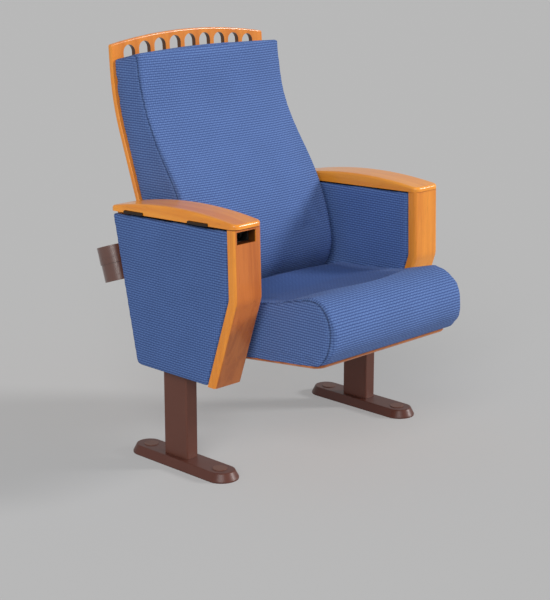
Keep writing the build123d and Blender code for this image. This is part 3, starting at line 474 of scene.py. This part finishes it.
# %% Paint, metal and plastic
def coated_finish(name, body, rubbed, gloss, ripple=500.0, edge=0.002, relief=0.0002, **values):
    """Paint or plastic with rounded, slightly rubbed edges."""
    made, tree, shader = new_finish(name, **values)
    skin = use_group(tree, coating, {
        "Place": add_node(tree, "ShaderNodeTexCoord").outputs["Object"], "Body": body, "Rubbed": rubbed,
        "Gloss": gloss, "Ripple scale": ripple, "Edge": edge,
    })
    tree.links.new(skin["Color"], shader.inputs["Base Color"])
    tree.links.new(skin["Roughness"], shader.inputs["Roughness"])
    raise_surface(tree, shader, skin["Height"], relief, strength=0.25, normal=skin["Normal"])
    return made


brown_steel = coated_finish(
    "brown_steel", rgb(98, 58, 47), rgb(126, 82, 68), gloss=0.40, ripple=420.0, edge=0.003,
    Specular_IOR_Level=0.35,
)
brown_cast = coated_finish(
    "brown_cast", rgb(86, 46, 37), rgb(124, 78, 64), gloss=0.40, ripple=240.0, edge=0.004,
    relief=0.0004, Specular_IOR_Level=0.35, Coat_Weight=0.08, Coat_Roughness=0.25,
)
brown_cap = coated_finish(
    "brown_cap", rgb(102, 64, 52), rgb(150, 112, 97), gloss=0.42, ripple=600.0, edge=0.001,
    Specular_IOR_Level=0.35,
)
brown_cup = coated_finish(
    "brown_cup", rgb(88, 50, 40), rgb(138, 98, 82), gloss=0.30, ripple=600.0, edge=0.0015,
    Specular_IOR_Level=0.8, Coat_Weight=0.6, Coat_Roughness=0.14,
)
black_steel = coated_finish(
    "black_steel", rgb(34, 32, 31), rgb(70, 66, 62), gloss=0.45, ripple=700.0, edge=0.001,
)
dark_bronze = coated_finish(
    "dark_bronze", rgb(52, 40, 32), rgb(120, 92, 60), gloss=0.38, ripple=800.0, edge=0.0006,
    Metallic=0.7,
)
zinc = coated_finish(
    "zinc", rgb(170, 168, 160), rgb(205, 203, 196), gloss=0.34, ripple=900.0, edge=0.0006,
    Metallic=0.9,
)
tablet_skin = coated_finish(
    "tablet_skin", rgb(44, 38, 36), rgb(84, 70, 60), gloss=0.5, ripple=1200.0, edge=0.0015,
)
nylon = coated_finish(
    "nylon", rgb(214, 210, 198), rgb(232, 228, 218), gloss=0.55, ripple=700.0, edge=0.0008,
)
rubber = coated_finish(
    "rubber", rgb(28, 27, 27), rgb(52, 50, 48), gloss=0.8, ripple=900.0, edge=0.0015,
)
print("finishes so far", len(bpy.data.materials))

# %% [markdown]
# ### Cloth
# The cloth follows each piece's own map, so its rows run round the roll of the seat as they do on the real
# one. The seams could be modelled as grooves, but they are finer than the mesh. So each point keeps its
# distance to the seam, and from that number the finish draws the stitches beside it and darkens the groove
# as painted shade. In the seat's dish a blue tint darkens the cloth: painted shade.

# %% Cloth
THREADS_PER_METRE = 178.0
STITCH_ROW, STITCH_LENGTH = 0.0048, 0.0065
# Painted shade: the blue tint that darkens the seat's dish.
DISH_SHADE_TINT = (0.52, 0.60, 0.71, 1)
STITCH_BLUE = rgb(104, 130, 184)


def read_value(tree, name):
    """A number that the piece keeps for each of its points."""
    return add_node(tree, "ShaderNodeAttribute", attribute_name=name).outputs["Fac"]


def cloth_finish(name, warp, weft, crevice_shade):
    """Woven cover cloth on the piece's own map, with a seam darkened as painted shade where the seam value
    is near zero.
    """
    made, tree, shader = new_finish(
        name, Roughness=0.92, Specular_IOR_Level=0.15, Sheen_Weight=0.04, Sheen_Roughness=0.5,
        Sheen_Tint=(0.75, 0.82, 1.0, 1),
    )
    cloth = use_group(tree, weave, {
        "Place": add_node(tree, "ShaderNodeUVMap", uv_map="weave").outputs[0],
        "Warp": warp, "Weft": weft, "Crevice shade": crevice_shade, "Threads per metre": THREADS_PER_METRE,
    })
    gap = calc(tree, "ABSOLUTE", read_value(tree, "seam"))
    # Painted shade: the cloth darkens in the seam's groove and, less, a little to each side of it.
    line = ramp(tree, gap, 0.0006, 0.0022, smooth=True)
    shade = ramp(tree, gap, 0.0, 0.008, 0.86, 1.0)
    dim = calc(tree, "MULTIPLY", shade, ramp(tree, line, 0.0, 1.0, 0.60, 1.0))
    colour = blend_colour(tree, 1.0, cloth["Color"], grey(tree, dim), "MULTIPLY")
    # Painted shade over the seat's dish.
    colour = blend_colour(tree, read_value(tree, "dish_shade"), colour, DISH_SHADE_TINT, "MULTIPLY")
    beside = calc(tree, "ABSOLUTE", calc(tree, "SUBTRACT", gap, STITCH_ROW))
    row = ramp(tree, beside, 0.0010, 0.0004, smooth=True)
    step = calc(tree, "PINGPONG", calc(tree, "DIVIDE", read_value(tree, "run"), STITCH_LENGTH), 0.5)
    stitch = calc(tree, "MULTIPLY", row, ramp(tree, step, 0.12, 0.22, smooth=True))
    colour = blend_colour(tree, calc(tree, "MULTIPLY", stitch, 0.7), colour, STITCH_BLUE)
    tree.links.new(colour, shader.inputs["Base Color"])
    raised = calc(tree, "ADD", calc(tree, "MULTIPLY_ADD", line, 1.6, cloth["Height"]), stitch)
    raise_surface(tree, shader, raised, distance=0.0009, strength=0.55)
    return made


cloth_blue = cloth_finish("cloth_blue", rgb(99, 127, 182), rgb(92, 119, 174), rgb(54, 74, 126))
# The arm panels take a slightly darker copy of the same cloth: painted shade.
panel_blue_shaded = cloth_finish("panel_blue_shaded", rgb(93, 123, 180), rgb(86, 115, 172), rgb(52, 72, 124))
print("finishes", len(bpy.data.materials))

# %% [markdown]
# ## Dress the solids
# A solid whose shape is right keeps its mesh and only changes its material slot. The slots are filled
# by name, so every solid has its own finish and none is left in the plain colour it came with.

# %% Give each rigid solid its finish
FINISHES = {
    wood_post_left: ["left_front_post"],
    wood_post_right: ["right_front_post"],
    wood_cap: ["right_arm_cap", "left_arm_lid"],
    wood_board: ["back_board", "left_rear_strip", "right_rear_strip"],
    wood_seat: ["seat_board"],
    brown_steel: ["left_column", "right_column"],
    brown_cast: ["left_foot", "right_foot"],
    brown_cap: ["foot_bolt_caps"],
    brown_cup: ["cup_holder", "cup_bracket"],
    black_steel: [
        "left_back_bracket", "right_back_bracket", "left_seat_hinge", "right_seat_hinge",
        "left_pivot_housing", "right_pivot_housing", "tablet_neck", "tablet_clevis",
    ],
    dark_bronze: ["lid_hinge_fixed_leaves", "lid_hinge_moving_leaves", "lid_hinge_pins"],
    zinc: ["seat_pivot_pins", "tablet_pivot_pin", "back_screws", "seat_screws", "cup_screws"],
    tablet_skin: ["tablet_board"],
    nylon: ["seat_pivot_bushes"],
    rubber: ["seat_buffers"],
}
for finish, names in FINISHES.items():
    for name in names:
        solids[name].data.materials.clear()
        solids[name].data.materials.append(finish)
print("dressed", sum(len(names) for names in FINISHES.values()), "solids")

# %% [markdown]
# ## Soft pieces
# Foam under cloth is full between its seams and pulled in along them. A plain rounded block would look
# moulded, so each cushion's solid is copied, remeshed into even squares and drawn in a little, and a cloth
# simulation with some air pressure swells it while its seams and its resting side are held. A cap on the
# movement keeps it inside its own space, and its points then go most of the way out to the solid.

# %% Read and write a mesh as arrays
def read_points(piece):
    """The vertices of a mesh piece as an array."""
    points = np.empty(len(piece.data.vertices) * 3)
    piece.data.vertices.foreach_get("co", points)
    return points.reshape(-1, 3)


def write_points(piece, points):
    """Put an array back into the vertices of a mesh piece."""
    piece.data.vertices.foreach_set("co", np.asarray(points, np.float32).ravel())
    piece.data.update()


def read_normals(piece):
    """The vertex normals of a mesh piece as an array."""
    return np.array([n.vector for n in piece.data.vertex_normals])


def read_corners(piece):
    """The vertex at each face corner, and the number of corners that each face has."""
    corners = np.empty(len(piece.data.loops), np.int32)
    piece.data.loops.foreach_get("vertex_index", corners)
    counts = np.empty(len(piece.data.polygons), np.int32)
    piece.data.polygons.foreach_get("loop_total", counts)
    return corners, counts


def soft_step(low, high, values):
    """Smooth step from 0 to 1 between two limits."""
    share = np.clip((values - low) / (high - low), 0, 1)
    return share * share * (3 - 2 * share)


# %% Copy a solid as even squares
SAME_POINT = 0.00005


def closed_shell(node):
    """A solid's mesh with its loose triangles joined and facing outwards."""
    shell = bmesh.new()
    shell.from_mesh(solids[node].data)
    bmesh.ops.remove_doubles(shell, verts=shell.verts, dist=SAME_POINT)
    bmesh.ops.recalc_face_normals(shell, faces=shell.faces)
    return shell


def soften(piece, rounds, chosen=None):
    """Relax the mesh, or the chosen points of it, so that its edges take a small radius."""
    skin = bmesh.new()
    skin.from_mesh(piece.data)
    verts = [v for v in skin.verts if chosen is None or chosen[v.index]]
    all_ways = {"use_axis_x": True, "use_axis_y": True, "use_axis_z": True}
    for _ in range(rounds):
        bmesh.ops.smooth_vert(skin, verts=verts, factor=0.5, **all_ways)
    skin.to_mesh(piece.data)
    skin.free()


def soft_copy(node, name, drawn_in, square, rounds):
    """Copy a solid, remesh it, round off its corners and draw it in along its normals."""
    shell = closed_shell(node)
    mesh = bpy.data.meshes.new(name)
    shell.to_mesh(mesh)
    shell.free()
    piece = bpy.data.objects.new(name, mesh)
    scene.collection.objects.link(piece)
    remesh = piece.modifiers.new("even squares", "REMESH")
    remesh.mode = "VOXEL"
    remesh.voxel_size = square
    seen_by = bpy.context.evaluated_depsgraph_get()
    even = bpy.data.meshes.new_from_object(piece.evaluated_get(seen_by))
    piece.modifiers.clear()
    piece.data = even
    even.name = name
    bpy.data.meshes.remove(mesh)
    soften(piece, rounds)
    write_points(piece, read_points(piece) - drawn_in * read_normals(piece))
    return piece


# %% Swell a soft piece with the cloth simulation
HELD_BAND, SEAM_HOLD = 0.004, 0.8


def hold(at_rest, seam):
    """How firmly each point is held: fully where it rests, and a little less along the seam."""
    held = np.where(at_rest, 1.0, 0.0)
    return np.where(np.abs(seam) < HELD_BAND, np.maximum(held, SEAM_HOLD), held)


def swell(piece, held, reach, pressure=4.0, frames=20):
    """Blow the piece up a little, held by the given weights and moved by no more than reach."""
    group = piece.vertex_groups.new(name="held")
    for weight in np.unique(held[held > 0]):
        group.add(np.flatnonzero(held == weight).tolist(), float(weight), "REPLACE")
    rest = read_points(piece)
    cloth = piece.modifiers.new("cover", "CLOTH")
    cloth.settings.vertex_group_mass = "held"
    cloth.settings.use_pressure = True
    cloth.settings.uniform_pressure_force = pressure
    cloth.settings.effector_weights.gravity = 0
    cloth.settings.quality = 4
    cloth.settings.bending_stiffness = 8
    cloth.collision_settings.use_collision = False
    cloth.point_cache.frame_start = 1
    cloth.point_cache.frame_end = frames
    for step in range(1, frames + 1):
        scene.frame_set(step)
    moved = np.empty(len(rest) * 3)
    shown = piece.evaluated_get(bpy.context.evaluated_depsgraph_get())
    shown.data.vertices.foreach_get("co", moved)
    move_by = moved.reshape(-1, 3) - rest
    length = np.linalg.norm(move_by, axis=1, keepdims=True)
    piece.modifiers.clear()
    piece.vertex_groups.clear()
    scene.frame_set(1)
    write_points(piece, rest + move_by * np.minimum(1.0, reach / np.maximum(length, 1e-9)))
    soften(piece, rounds=2)
    mean, most = (round(float(value) * 1000, 1) for value in (length.mean(), length.max()))
    print(piece.name, "moved", mean, "to", most, "mm")


# %% Fill a soft piece out to its solid
def fill_out(piece, node, share):
    """Move the points that lie inside the solid most of the way out to its surface."""
    shell = closed_shell(node)
    surface = BVHTree.FromBMesh(shell)
    points = read_points(piece)
    for index, point in enumerate(points):
        place, normal, _, _ = surface.find_nearest(Vector(point))
        out = place - Vector(point)
        if out.dot(normal) > 0:
            points[index] += share * np.array(out)
    shell.free()
    write_points(piece, points)


# %% Seams and maps on a soft piece
SEAM_DEPTH, SEAM_WIDTH = 0.0024, 0.008
NO_SEAM = 0.05


def store_value(piece, name, values):
    """Keep a number for each point, for the finish to read."""
    stored = piece.data.attributes.new(name, "FLOAT", "POINT")
    stored.data.foreach_set("value", values.astype(np.float32))


def press_seam(piece, seam):
    """Press the surface in along the seam."""
    share = np.clip(1 - (seam / SEAM_WIDTH) ** 2, 0, 1)[:, None] ** 2
    write_points(piece, read_points(piece) - SEAM_DEPTH * share * read_normals(piece))


def lay_map(piece, maps, choice):
    """Write the weave map: each face takes the one of several (across, along) maps that choice names."""
    layer = piece.data.uv_layers.new(name="weave")
    corners, counts = read_corners(piece)
    chosen = np.repeat(choice, counts)
    layer.data.foreach_set("uv", np.stack(maps)[chosen, corners].astype(np.float32).ravel())


def face_values(piece, values):
    """Mean of a per-point value over each face, and each face's normal."""
    corners, counts = read_corners(piece)
    normals = np.empty(len(piece.data.polygons) * 3)
    piece.data.polygons.foreach_get("normal", normals)
    return np.add.reduceat(values[corners], np.cumsum(counts) - counts) / counts, normals.reshape(-1, 3)


def finish_soft(piece, finish, body, node, smooth_levels):
    """Shade, cover and hang up a finished soft piece."""
    piece.data.materials.clear()
    piece.data.materials.append(finish)
    piece.data.polygons.foreach_set("use_smooth", np.ones(len(piece.data.polygons), bool))
    if smooth_levels:
        finer = piece.modifiers.new("finer", "SUBSURF")
        finer.levels = finer.render_levels = smooth_levels
    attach(piece, body)
    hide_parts(node)
    low, high = read_points(piece).min(0), read_points(piece).max(0)
    print(piece.name, len(piece.data.polygons), "faces", np.round(low, 3), np.round(high, 3))


# %% [markdown]
# ## Back cushion
# The cushion is a thick S in side view: full at the loins, slim at the shoulders. Its front cloth wraps
# round the long edges and is sewn to flat side strips a finger's width behind the face. It rests on a
# board that is bent once, so the board's front face is worked out first as two straight runs and an arc.

# %% Shape of the back
BOARD_BEND = (0.2888, 0.7946)
LOWER_LEAN, UPPER_LEAN = math.tan(math.radians(19.3)), math.tan(math.radians(3.5))
ARC_R, ARC_MIDDLE = 0.528, (-0.2337, 0.8999)
ARC_LOW_Z, ARC_HIGH_Z = 0.7254, 0.8677
BACK_DEPTHS = np.array([
    (0.348, 0.062), (0.368, 0.083), (0.411, 0.119), (0.471, 0.136), (0.535, 0.139), (0.610, 0.129),
    (0.699, 0.100), (0.788, 0.086), (0.848, 0.078), (0.912, 0.073),
])
BACK_REAR_X, BACK_SEAM_X = 0.234, 0.229
SEAM_SHARE = 0.08
SEAM_REACH = 0.035
TOP_FACING, TOP_FROM_Z = 0.6, 0.85
print("the back is", BACK_DEPTHS[:, 1].min(), "to", BACK_DEPTHS[:, 1].max(), "m thick")


def board_front(z):
    """Front face of the bent board at a height: two straight runs and the arc between them."""
    below = BOARD_BEND[0] + (z - BOARD_BEND[1]) * LOWER_LEAN
    above = BOARD_BEND[0] + (z - BOARD_BEND[1]) * UPPER_LEAN
    arc = ARC_MIDDLE[0] + np.sqrt(np.maximum(ARC_R**2 - (z - ARC_MIDDLE[1]) ** 2, 0))
    return np.where(z < ARC_LOW_Z, below, np.where(z > ARC_HIGH_Z, above, arc))


def back_depth(z):
    """Thickness of the cushion at a height."""
    return np.interp(z, BACK_DEPTHS[:, 0], BACK_DEPTHS[:, 1])


def back_seam(points, normals):
    """Signed distance to the seam: positive on the side strips."""
    z = points[:, 2]
    behind = points[:, 1] - (board_front(z) - (1 - SEAM_SHARE) * back_depth(z))
    beside = np.abs(points[:, 0]) - BACK_SEAM_X
    over_top = (normals[:, 2] > TOP_FACING) & (z > TOP_FROM_Z)
    flank = np.where(behind > 0, behind, -np.hypot(beside, behind))
    return np.where(over_top, beside, np.where(np.abs(beside) < SEAM_REACH, flank, -NO_SEAM))


# %% Rest the back on its board
REST_GAP, REST_BAND = 0.0006, 0.0068
EDGE_BAND = 0.008


def rest_on_board(piece):
    """Lay the rear of the cushion flat on the board and square its edge."""
    points = read_points(piece)
    front = board_front(points[:, 2]) - REST_GAP
    near = points[:, 1] > front - REST_BAND
    edge = near & (np.abs(points[:, 0]) > BACK_REAR_X - EDGE_BAND)
    points[:, 1] = np.where(near, front, points[:, 1])
    points[:, 0] = np.where(edge, np.sign(points[:, 0]) * BACK_REAR_X, points[:, 0])
    write_points(piece, points)


DRAWN_IN = 0.0015
BACK_SQUARE = 0.0062
back_pad = soft_copy("back_cushion", "back_pad", DRAWN_IN, BACK_SQUARE, rounds=2)
rest_on_board(back_pad)
print("squares on the back", len(back_pad.data.polygons))

# %% Swell the back and smooth its bend
BACK_REACH, FILL_SHARE = 0.008, 0.9
REAR_FACING, FRONT_FACING = 0.55, -0.6
BEND_Z, BEND_REACH, BEND_HALF, BEND_ROUNDS = 0.79, 0.10, 0.212, 60
points, normals = read_points(back_pad), read_normals(back_pad)
at_rest = normals[:, 1] > REAR_FACING
swell(back_pad, hold(at_rest, back_seam(points, normals)), BACK_REACH)
fill_out(back_pad, "back_cushion", FILL_SHARE)
points, normals = read_points(back_pad), read_normals(back_pad)
bend = (np.abs(points[:, 2] - BEND_Z) < BEND_REACH) & (np.abs(points[:, 0]) < BEND_HALF)
bend &= normals[:, 1] < FRONT_FACING
soften(back_pad, BEND_ROUNDS, bend)
rest_on_board(back_pad)
print("smoothed", int(bend.sum()), "points round the bend")

# %% Sew and cover the back
FRONT, SIDE, TOP = 0, 1, 2
LEVEL_FACING = 0.7
RUN_SHARE = 0.3
MAP_LOW_Z, MAP_HIGH_Z, MAP_STEPS = 0.34, 0.93, 80
points, normals = read_points(back_pad), read_normals(back_pad)
seam = back_seam(points, normals)
store_value(back_pad, "seam", seam)
store_value(back_pad, "run", points[:, 1] * RUN_SHARE + points[:, 2])
press_seam(back_pad, seam)
points, normals = read_points(back_pad), read_normals(back_pad)
heights = np.linspace(MAP_LOW_Z, MAP_HIGH_Z, MAP_STEPS)
face_y = board_front(heights) - back_depth(heights)
lengths = np.concatenate([[0], np.cumsum(np.hypot(np.diff(heights), np.diff(face_y)))])
up_front = np.interp(points[:, 2], heights, lengths)
seam_mean, face_normals = face_values(back_pad, back_seam(points, normals))
choice = np.where(seam_mean > 0, SIDE, FRONT)
choice = np.where(np.abs(face_normals[:, 2]) > LEVEL_FACING, TOP, choice)
lay_map(back_pad, [np.c_[points[:, 0], up_front], points[:, 1:], points[:, :2]], choice)
finish_soft(back_pad, cloth_blue, "frame", "back_cushion", smooth_levels=1)

# %% [markdown]
# ## Seat cushion
# The seat's top is dished and ends in a crisp ridge, where the cloth turns over into a deep roll. The
# side strips are sewn on just inside the outline that the seat shows from the side. The cover's lower
# rim is drawn down over the edge of the wooden board under it.

# %% Lines in the side view
def nearest_on_line(places, line):
    """Signed distance to a line of points and the length along it, for many places in the side view."""
    best = np.full(len(places), 1e9)
    side = np.zeros(len(places))
    run = np.zeros(len(places))
    walked = 0.0
    for a, b in zip(line[:-1], line[1:]):
        step = b - a
        size = np.hypot(*step)
        share = np.clip(((places - a) @ step) / size**2, 0, 1)
        offset = places - (a + share[:, None] * step)
        away = np.hypot(offset[:, 0], offset[:, 1])
        closer = away < best
        best = np.where(closer, away, best)
        side = np.where(closer, np.sign(step[0] * offset[:, 1] - step[1] * offset[:, 0]), side)
        run = np.where(closer, walked + share * size, run)
        walked += size
    return best * side, run


def smooth_line(line, rounds=3):
    """Cut the corners of a line of points a few times, so that it runs smoothly."""
    for _ in range(rounds):
        cut = np.empty((2 * len(line) - 2, 2))
        cut[0::2] = 0.75 * line[:-1] + 0.25 * line[1:]
        cut[1::2] = 0.25 * line[:-1] + 0.75 * line[1:]
        line = np.vstack([line[:1], cut, line[-1:]])
    return line


# %% Shape of the seat
SEAT_SIDE = np.array([
    (0.020, 0.268), (0.020, 0.378), (-0.010, 0.386), (-0.080, 0.386), (-0.166, 0.394),
    (-0.257, 0.417), (-0.300, 0.424), (-0.326, 0.421), (-0.346, 0.406), (-0.359, 0.387),
    (-0.366, 0.365), (-0.366, 0.340), (-0.360, 0.314), (-0.345, 0.292),
])
SEAT_REAR_HALF, SEAT_REAR_Y, SEAT_TAPER = 0.236, 0.024, 0.0528
SEAT_TILT = math.tan(math.radians(5))
BOARD_TOP_Z, BOARD_FRONT_Y = 0.2611, -0.336
RIM_HEIGHT, RIM_FRONT_Y, RIM_SEAM = 0.012, -0.315, 0.01
SIDE_FACING, FLANK_BAND = 0.35, 0.030
seat_line = smooth_line(SEAT_SIDE)
print("side seam of the seat through", len(seat_line), "points")


def seat_half(y):
    """Half the cushion's width, which narrows towards the front."""
    return SEAT_REAR_HALF - (SEAT_REAR_Y - y) * SEAT_TAPER


def board_top(y):
    """Height of the seat board's upper face."""
    return BOARD_TOP_Z - y * SEAT_TILT


def seat_seam(points, normals):
    """Signed distance to the side seam, positive on the side strip."""
    x, y, z = points.T
    distance, _ = nearest_on_line(points[:, 1:], seat_line)
    flank = (np.abs(normals[:, 0]) > SIDE_FACING) & (np.abs(x) > seat_half(y) - FLANK_BAND)
    rim = (z < board_top(y) + RIM_HEIGHT) & (y > RIM_FRONT_Y)
    return np.where(flank, np.where(rim, np.maximum(distance, RIM_SEAM), distance), -NO_SEAM)


# %% [markdown]
# ### Dish and lower rim
# Air pressure alone makes a seat that bulges everywhere. A used seat is dished where people sit, so after
# the swelling its top is pressed down by a smooth rule: most in the middle, nothing at the front ridge.
# The lower rim follows the outline of the board and is drawn down over its edge, as a tacked cover is.

# %% Dish the seat behind its ridge
SEAT_HALF = 0.233
RIDGE_Y, RIDGE_ARCH = -0.300, 0.080
DISH_SLOPE, DISH_LOW_Z, DISH_FULL_Z = 0.030, 0.31, 0.37
DISH_DEPTH, DISH_REAR = 0.017, 0.008
REAR_FROM_Y, REAR_SHARE = -0.11, 0.95
SIDE_RIM, RIM_FADE = 0.026, 2.4


def dish_seat(piece):
    """Sink the sitting area behind an arched ridge, most in the middle; returns where shade is painted on
    the dish.
    """
    points = read_points(piece)
    side = np.abs(points[:, 0]) / SEAT_HALF
    behind = points[:, 1] - (RIDGE_Y + RIDGE_ARCH * side**2)
    share = soft_step(0.0, DISH_SLOPE, behind) * soft_step(DISH_LOW_Z, DISH_FULL_Z, points[:, 2])
    rear = soft_step(REAR_FROM_Y, 0.0, points[:, 1])
    sunk = DISH_DEPTH * np.maximum(1 - side**2, 0) * (1 - REAR_SHARE * rear) + DISH_REAR * rear * side**2
    points[:, 2] -= share * sunk
    write_points(piece, points)
    # The painted shade covers the dish but leaves a band along each side.
    return share * soft_step(SIDE_RIM, RIM_FADE * SIDE_RIM, SEAT_HALF * (1 - side))


# %% Draw the cover over the board's edge
WRAP_OUT, WRAP_IN = 0.0022, 0.006
WRAP_FULL, WRAP_END = 0.004, 0.016
SIDE_DROP, FRONT_DROP = 0.0062, 0.0015
ROLL_Y, STRAIGHT_Y = -0.338, -0.300
SOFT_RIM, SQUARE_RIM, JUST_BELOW = 0.05, 0.1, 0.001


def wrap_board(piece):
    """Draw the lower rim of the cover down over the edge of the seat board."""
    points = read_points(piece)
    top, half = board_top(points[:, 1]), seat_half(points[:, 1])
    ahead = BOARD_FRONT_Y - points[:, 1]
    beside = np.abs(points[:, 0]) - half
    above = points[:, 2] - top
    rim = soft_step(-WRAP_IN, 0.0, np.maximum(ahead, beside)) * (1 - soft_step(WRAP_FULL, WRAP_END, above))
    at_side = beside > ahead
    points[:, 0] += np.sign(points[:, 0]) * at_side * rim * WRAP_OUT
    points[:, 2] -= rim * (np.clip(above, 0, WRAP_FULL) + np.where(at_side, SIDE_DROP, FRONT_DROP))
    write_points(piece, points)
    soften(piece, rounds=2, chosen=rim > SOFT_RIM)
    points = read_points(piece)
    square = ((rim > SQUARE_RIM) & at_side) * soft_step(ROLL_Y, STRAIGHT_Y, points[:, 1])
    points[:, 0] += square * (np.sign(points[:, 0]) * (half + WRAP_OUT) - points[:, 0])
    lowest = square * (points[:, 2] < top - JUST_BELOW)
    points[:, 2] += lowest * (top - SIDE_DROP - points[:, 2])
    write_points(piece, points)


# %% Swell and shape the seat
SEAT_SQUARE = 0.0055
SEAT_REACH = 0.007
seat_pad = soft_copy("seat_cushion", "seat_pad", DRAWN_IN, SEAT_SQUARE, rounds=2)
points, normals = read_points(seat_pad), read_normals(seat_pad)
at_rest = normals[:, 2] < -LEVEL_FACING
swell(seat_pad, hold(at_rest, seat_seam(points, normals)), SEAT_REACH)
fill_out(seat_pad, "seat_cushion", FILL_SHARE)
# dish_seat also gives where shade is painted on the dish.
dish_shade = dish_seat(seat_pad)
wrap_board(seat_pad)
print("pressed share of the points", round(float(dish_shade.mean()), 3))

# %% Sew and cover the seat
points, normals = read_points(seat_pad), read_normals(seat_pad)
seam = seat_seam(points, normals)
store_value(seat_pad, "seam", seam)
store_value(seat_pad, "run", nearest_on_line(points[:, 1:], seat_line)[1])
store_value(seat_pad, "dish_shade", dish_shade)
press_seam(seat_pad, seam)
points, normals = read_points(seat_pad), read_normals(seat_pad)
seam_mean, _ = face_values(seat_pad, seat_seam(points, normals))
_, over = nearest_on_line(points[:, 1:], seat_line)
choice = np.where(seam_mean > 0, SIDE, FRONT)
lay_map(seat_pad, [np.c_[points[:, 0], over], points[:, 1:]], choice)
finish_soft(seat_pad, cloth_blue, "seat", "seat_cushion", smooth_levels=1)

# %% [markdown]
# ## Arm panels
# The arms are boards under thin padding. They look flat, but the cloth still rises a little from its
# tight edge to the middle, and that softness catches the light along the outline. A narrow gap along
# the post and the cap shows as a dark line.

# %% Arm panels
PANEL_SIDE = np.array([
    (-0.177, 0.5765), (0.198, 0.5627), (0.124, 0.217), (-0.113, 0.217), (-0.182, 0.424), (-0.177, 0.5765),
])
CAP_EDGE, POST_EDGE = PANEL_SIDE[:2], PANEL_SIDE[3:]
PANEL_SQUARE = 0.005
PANEL_CROWN, CROWN_RUN = 0.0028, 0.022
SHADOW_GAP, GAP_RUN = 0.0034, 0.025
FLAT_FACING = 0.5


def gap_from(places, edge):
    """How far each place draws back from an edge: most on it, and nothing further in."""
    distance, _ = nearest_on_line(places, edge)
    return SHADOW_GAP * (1 - soft_step(0.0, GAP_RUN, np.abs(distance)))


for side, sign in (("left", -1), ("right", 1)):
    for layer, outward in (("outer", sign), ("inner", -sign)):
        node = f"{side}_{layer}_panel"
        pad = soft_copy(node, f"{side}_{layer}_pad", 0.0, PANEL_SQUARE, rounds=3)
        points, normals = read_points(pad), read_normals(pad)
        inset, _ = nearest_on_line(points[:, 1:], PANEL_SIDE)
        shows = np.clip(normals[:, 0] * outward, 0, 1)
        points[:, 0] += outward * PANEL_CROWN * shows * (1 - np.exp(-np.abs(inset) / CROWN_RUN))
        points[:, 1] += gap_from(points[:, 1:], POST_EDGE)
        points[:, 2] -= gap_from(points[:, 1:], CAP_EDGE)
        write_points(pad, points)
        store_value(pad, "seam", np.full(len(points), NO_SEAM))
        store_value(pad, "run", points[:, 1])
        _, face_normals = face_values(pad, points[:, 0])
        choice = np.where(np.abs(face_normals[:, 0]) > FLAT_FACING, SIDE, FRONT)
        round_edge = np.c_[points[:, 1] + points[:, 0], points[:, 2] + points[:, 0]]
        lay_map(pad, [round_edge, points[:, 1:]], choice)
        finish_soft(pad, panel_blue_shaded, "frame", node, smooth_levels=0)
